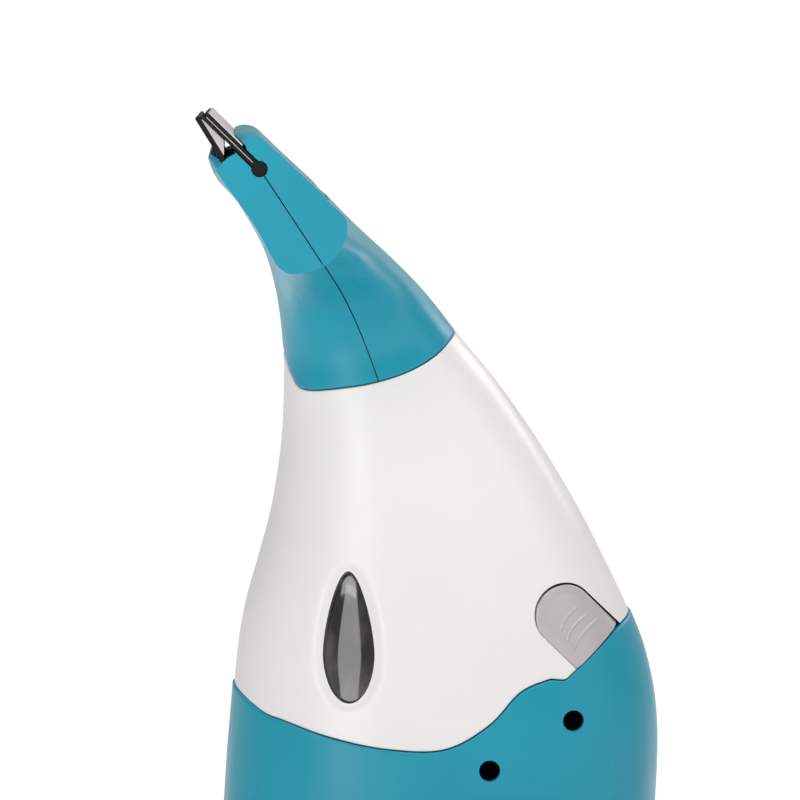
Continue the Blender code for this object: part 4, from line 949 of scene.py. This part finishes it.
def joined(*meshes):
    """One mesh of several separate closed ones."""
    shape = bmesh.new()
    for mesh in meshes:
        shape.from_mesh(mesh)
    whole = bpy.data.meshes.new("joined")
    shape.to_mesh(whole)
    shape.free()
    return whole


def box(name, low, high):
    outline = [(low[0], low[2]), (high[0], low[2]), (high[0], high[2]), (low[0], high[2])]
    return prism(name, outline, low[1], high[1])


def make_lower_shell(label, side):
    """One teal half shell with its loop handle, the opening's wall and the screw recesses."""
    points, depth = skin(TEAL_PROUD, None, offset_line(lower_seam, -GAP / 2), 250, 150, edge=0.7)
    normal = grid_normals(points)
    opening = rounded(OPENING, OPENING_RADIUS)
    outside = points[..., 1] < -8.0
    ease = np.clip(1 - outline_distance(points[..., [0, 2]], opening) / OPENING_EDGE, 0.0, 1.0)
    roll = np.minimum(OPENING_EDGE * (1 - np.sqrt(1 - ease ** 2)), OPENING_EDGE * 0.9) * outside
    middle = np.zeros(points.shape[:2])
    middle[:, 0] = middle[:, -1] = 0.3
    outer = points - normal * (depth + roll + middle)[..., None]
    inner = points - normal * (WALL + TEAL_PROUD)
    inner[..., 2] = np.maximum(inner[..., 2], BASE_INSIDE_Z)
    nets = []
    for net in (outer, inner):
        flat = np.repeat(net[:1], 13, axis=0)
        flat[..., 1] = flat[..., 1] * np.linspace(0.0, 1.0, 14)[:-1, None]
        net = np.concatenate((flat, net))
        net[..., 1] = np.minimum(net[..., 1], -GAP / 2)
        nets.append(net)
    shell = add_object(f"lower_{label}", mesh_from("lower", *closed_shell(*nets), side=side))
    low, high = sorted((side * GAP / 2, side * BEYOND))
    tunnel = add_object("tunnel", prism("tunnel", grown(opening, WALL), low, high))
    flattened = nets[0] * (1, 0, 1) - (0, GAP / 2, 0)
    apply_boolean(tunnel, "INTERSECT", mesh_from("form", *closed_shell(nets[0], flattened), side=side))
    apply_boolean(shell, "UNION", tunnel.data.copy())
    bpy.data.objects.remove(tunnel, do_unlink=True)
    cutter = add_object("cutter", prism("opening", opening, -70.0, 70.0))
    apply_boolean(cutter, "UNION", box("slot", *TRIGGER_SLOT))
    filler_z = CAP_CENTRE[2]
    cuts = [cutter.data.copy(),
            rod("filler", (-72.0, 0.0, filler_z), (-50.0, 0.0, filler_z), CAP_HOLE_RADIUS, 64)]
    if side < 0:
        cuts += [rod("recess", (x, -BEYOND, z), (x, -15.7, z), SCREW_RECESS, 40) for x, z in SCREWS]
    apply_boolean(shell, "DIFFERENCE", joined(*cuts))
    bpy.data.objects.remove(cutter, do_unlink=True)
    return shell


# ---------------------------------------------------------------- small parts
def turned_mesh(name, profile, place, axis, steps=96, flutes=0, depth=0.0):
    """A piece turned about an axis; profile runs (radius, height); flutes cut into its widest rim."""
    axis = np.array(axis, float)
    side = np.cross(axis, (0.0, 1.0, 0.0) if abs(axis[1]) < 0.9 else (1.0, 0.0, 0.0))
    side /= np.linalg.norm(side)
    other = np.cross(axis, side)
    widest = max(radius for radius, height in profile)
    angle = np.linspace(0, 2 * math.pi, steps, endpoint=False)
    rings = []
    for radius, height in profile:
        reach = np.full(steps, max(radius, 0.001))
        if flutes and radius > widest - 0.6:
            reach = reach - depth * (0.5 + 0.5 * np.cos(flutes * angle)) ** 3
        rings.append(np.array(place) + axis * height + reach[:, None]
                     * (np.cos(angle)[:, None] * side + np.sin(angle)[:, None] * other))
    return mesh_from(name, *closed_loft(rings))


def eased_box(name, low, high, edge):
    """A box with rounded edges."""
    mesh = box(name, low, high)
    shape = bmesh.new()
    shape.from_mesh(mesh)
    bmesh.ops.bevel(shape, geom=shape.edges[:], offset=edge * MM, segments=5, profile=0.5,
                    affect="EDGES")
    shape.to_mesh(mesh)
    shape.free()
    return mesh


def make_cap():
    """The quarter-turn filler cap, with a fluted rim, a ring groove and a grip bar."""
    profile = [(0.0, 6.5), (8.6, 6.5), (9.2, 5.9), (9.2, 0.0), (13.4, 0.0), (14.0, -0.4),
               (14.0, -1.3), (13.8, -1.9), (13.3, -2.4), (12.6, -2.6), (11.6, -2.6), (11.3, -2.35),
               (10.9, -2.35), (10.6, -2.6), (4.0, -2.6), (0.0, -2.6)]
    disc = turned_mesh("disc", profile, CAP_CENTRE, (1.0, 0.0, 0.0), 192, 32, 0.35)
    grip = eased_box("grip", *CAP_GRIP, 1.4)
    cap = add_object("filler_knob", joined(disc, grip))
    finish_piece(cap, TEAL, "cap", "teal", "filler_cap")


def make_trigger():
    """The trigger, with soft edges all round its two faces."""
    outline = rounded(TRIGGER, 1.2, 5)
    rings = []
    edges = [(0.0, -0.9), (0.15, -0.5), (0.45, -0.15), (0.9, 0.0)]
    for y, growth in ([(-TRIGGER_HALF_WIDTH + inset, growth) for inset, growth in edges]
                      + [(TRIGGER_HALF_WIDTH - inset, growth) for inset, growth in edges[::-1]]):
        ring = grown(outline, growth)
        rings.append(np.column_stack((ring[:, 0], np.full(len(ring), y), ring[:, 1])))
    trigger = add_object("trigger_lever", mesh_from("trigger", *closed_loft(rings)))
    x, z = TRIGGER_PIN
    apply_boolean(trigger, "DIFFERENCE", rod("bore", (x, -20.0, z), (x, 20.0, z), TRIGGER_BORE_RADIUS, 32))
    finish_piece(trigger, GREY, "trigger", "grey", "steam_trigger")


def make_bracket():
    """The latch bracket, with the rib that runs back between the two buttons."""
    bracket = add_object("bracket", eased_box("bracket", *BRACKET, 0.6))
    apply_boolean(bracket, "UNION", eased_box("rib", *BRACKET_RIB, 0.8))
    finish_piece(bracket, DARK, "casing", "dark", "latch_bracket")


def make_gland():
    """A ribbed rubber gland in the low rear of the casing."""
    profile = [(3.4, -9.8), (6.0, -9.8), (6.0, -2.0), (8.2, -2.0), (8.6, -1.6), (8.6, -1.0),
               (8.2, -0.4), (7.4, 0.0), (3.9, 0.0), (3.4, -0.4)]
    gland = add_object("gland_boot", turned_mesh("gland", profile, GLAND_CENTRE, (1.0, 0.0, 0.0), 72))
    finish_piece(gland, BLACK, "casing", "black_rubber", "cable_gland")


def make_feet():
    """Four round rubber feet, each with a shallow cup in its underside."""
    profile = [(0.0, 3.2), (6.5, 3.2), (6.5, 0.9), (6.3, 0.35), (5.8, 0.0), (3.6, 0.0), (3.3, 0.3),
               (0.0, 0.3)]
    for end, x in FOOT_X.items():
        for label, side in SIDES.items():
            foot = add_object(f"pad_{end}_{label}", turned_mesh(
                "foot", profile, (x, side * FOOT_Y, 0.0), (0.0, 0.0, 1.0), 64))
            finish_piece(foot, BLACK, "casing", "black_rubber", f"foot_{end}_{label}")


make_nozzle()
make_squeegee()
for label, sign in SIDES.items():
    white = make_upper_shell(f"upper_shell_{label}", sign)
    finish_piece(white, WHITE, "casing", "white", f"body_{label}_shell")
    teal = make_lower_shell(label, sign)
    finish_piece(teal, TEAL, "casing", "teal", f"lower_{label}_shell")
    make_lens(label, sign)
    make_button(label, sign)
make_cap()
make_trigger()
make_bracket()
make_gland()
make_feet()
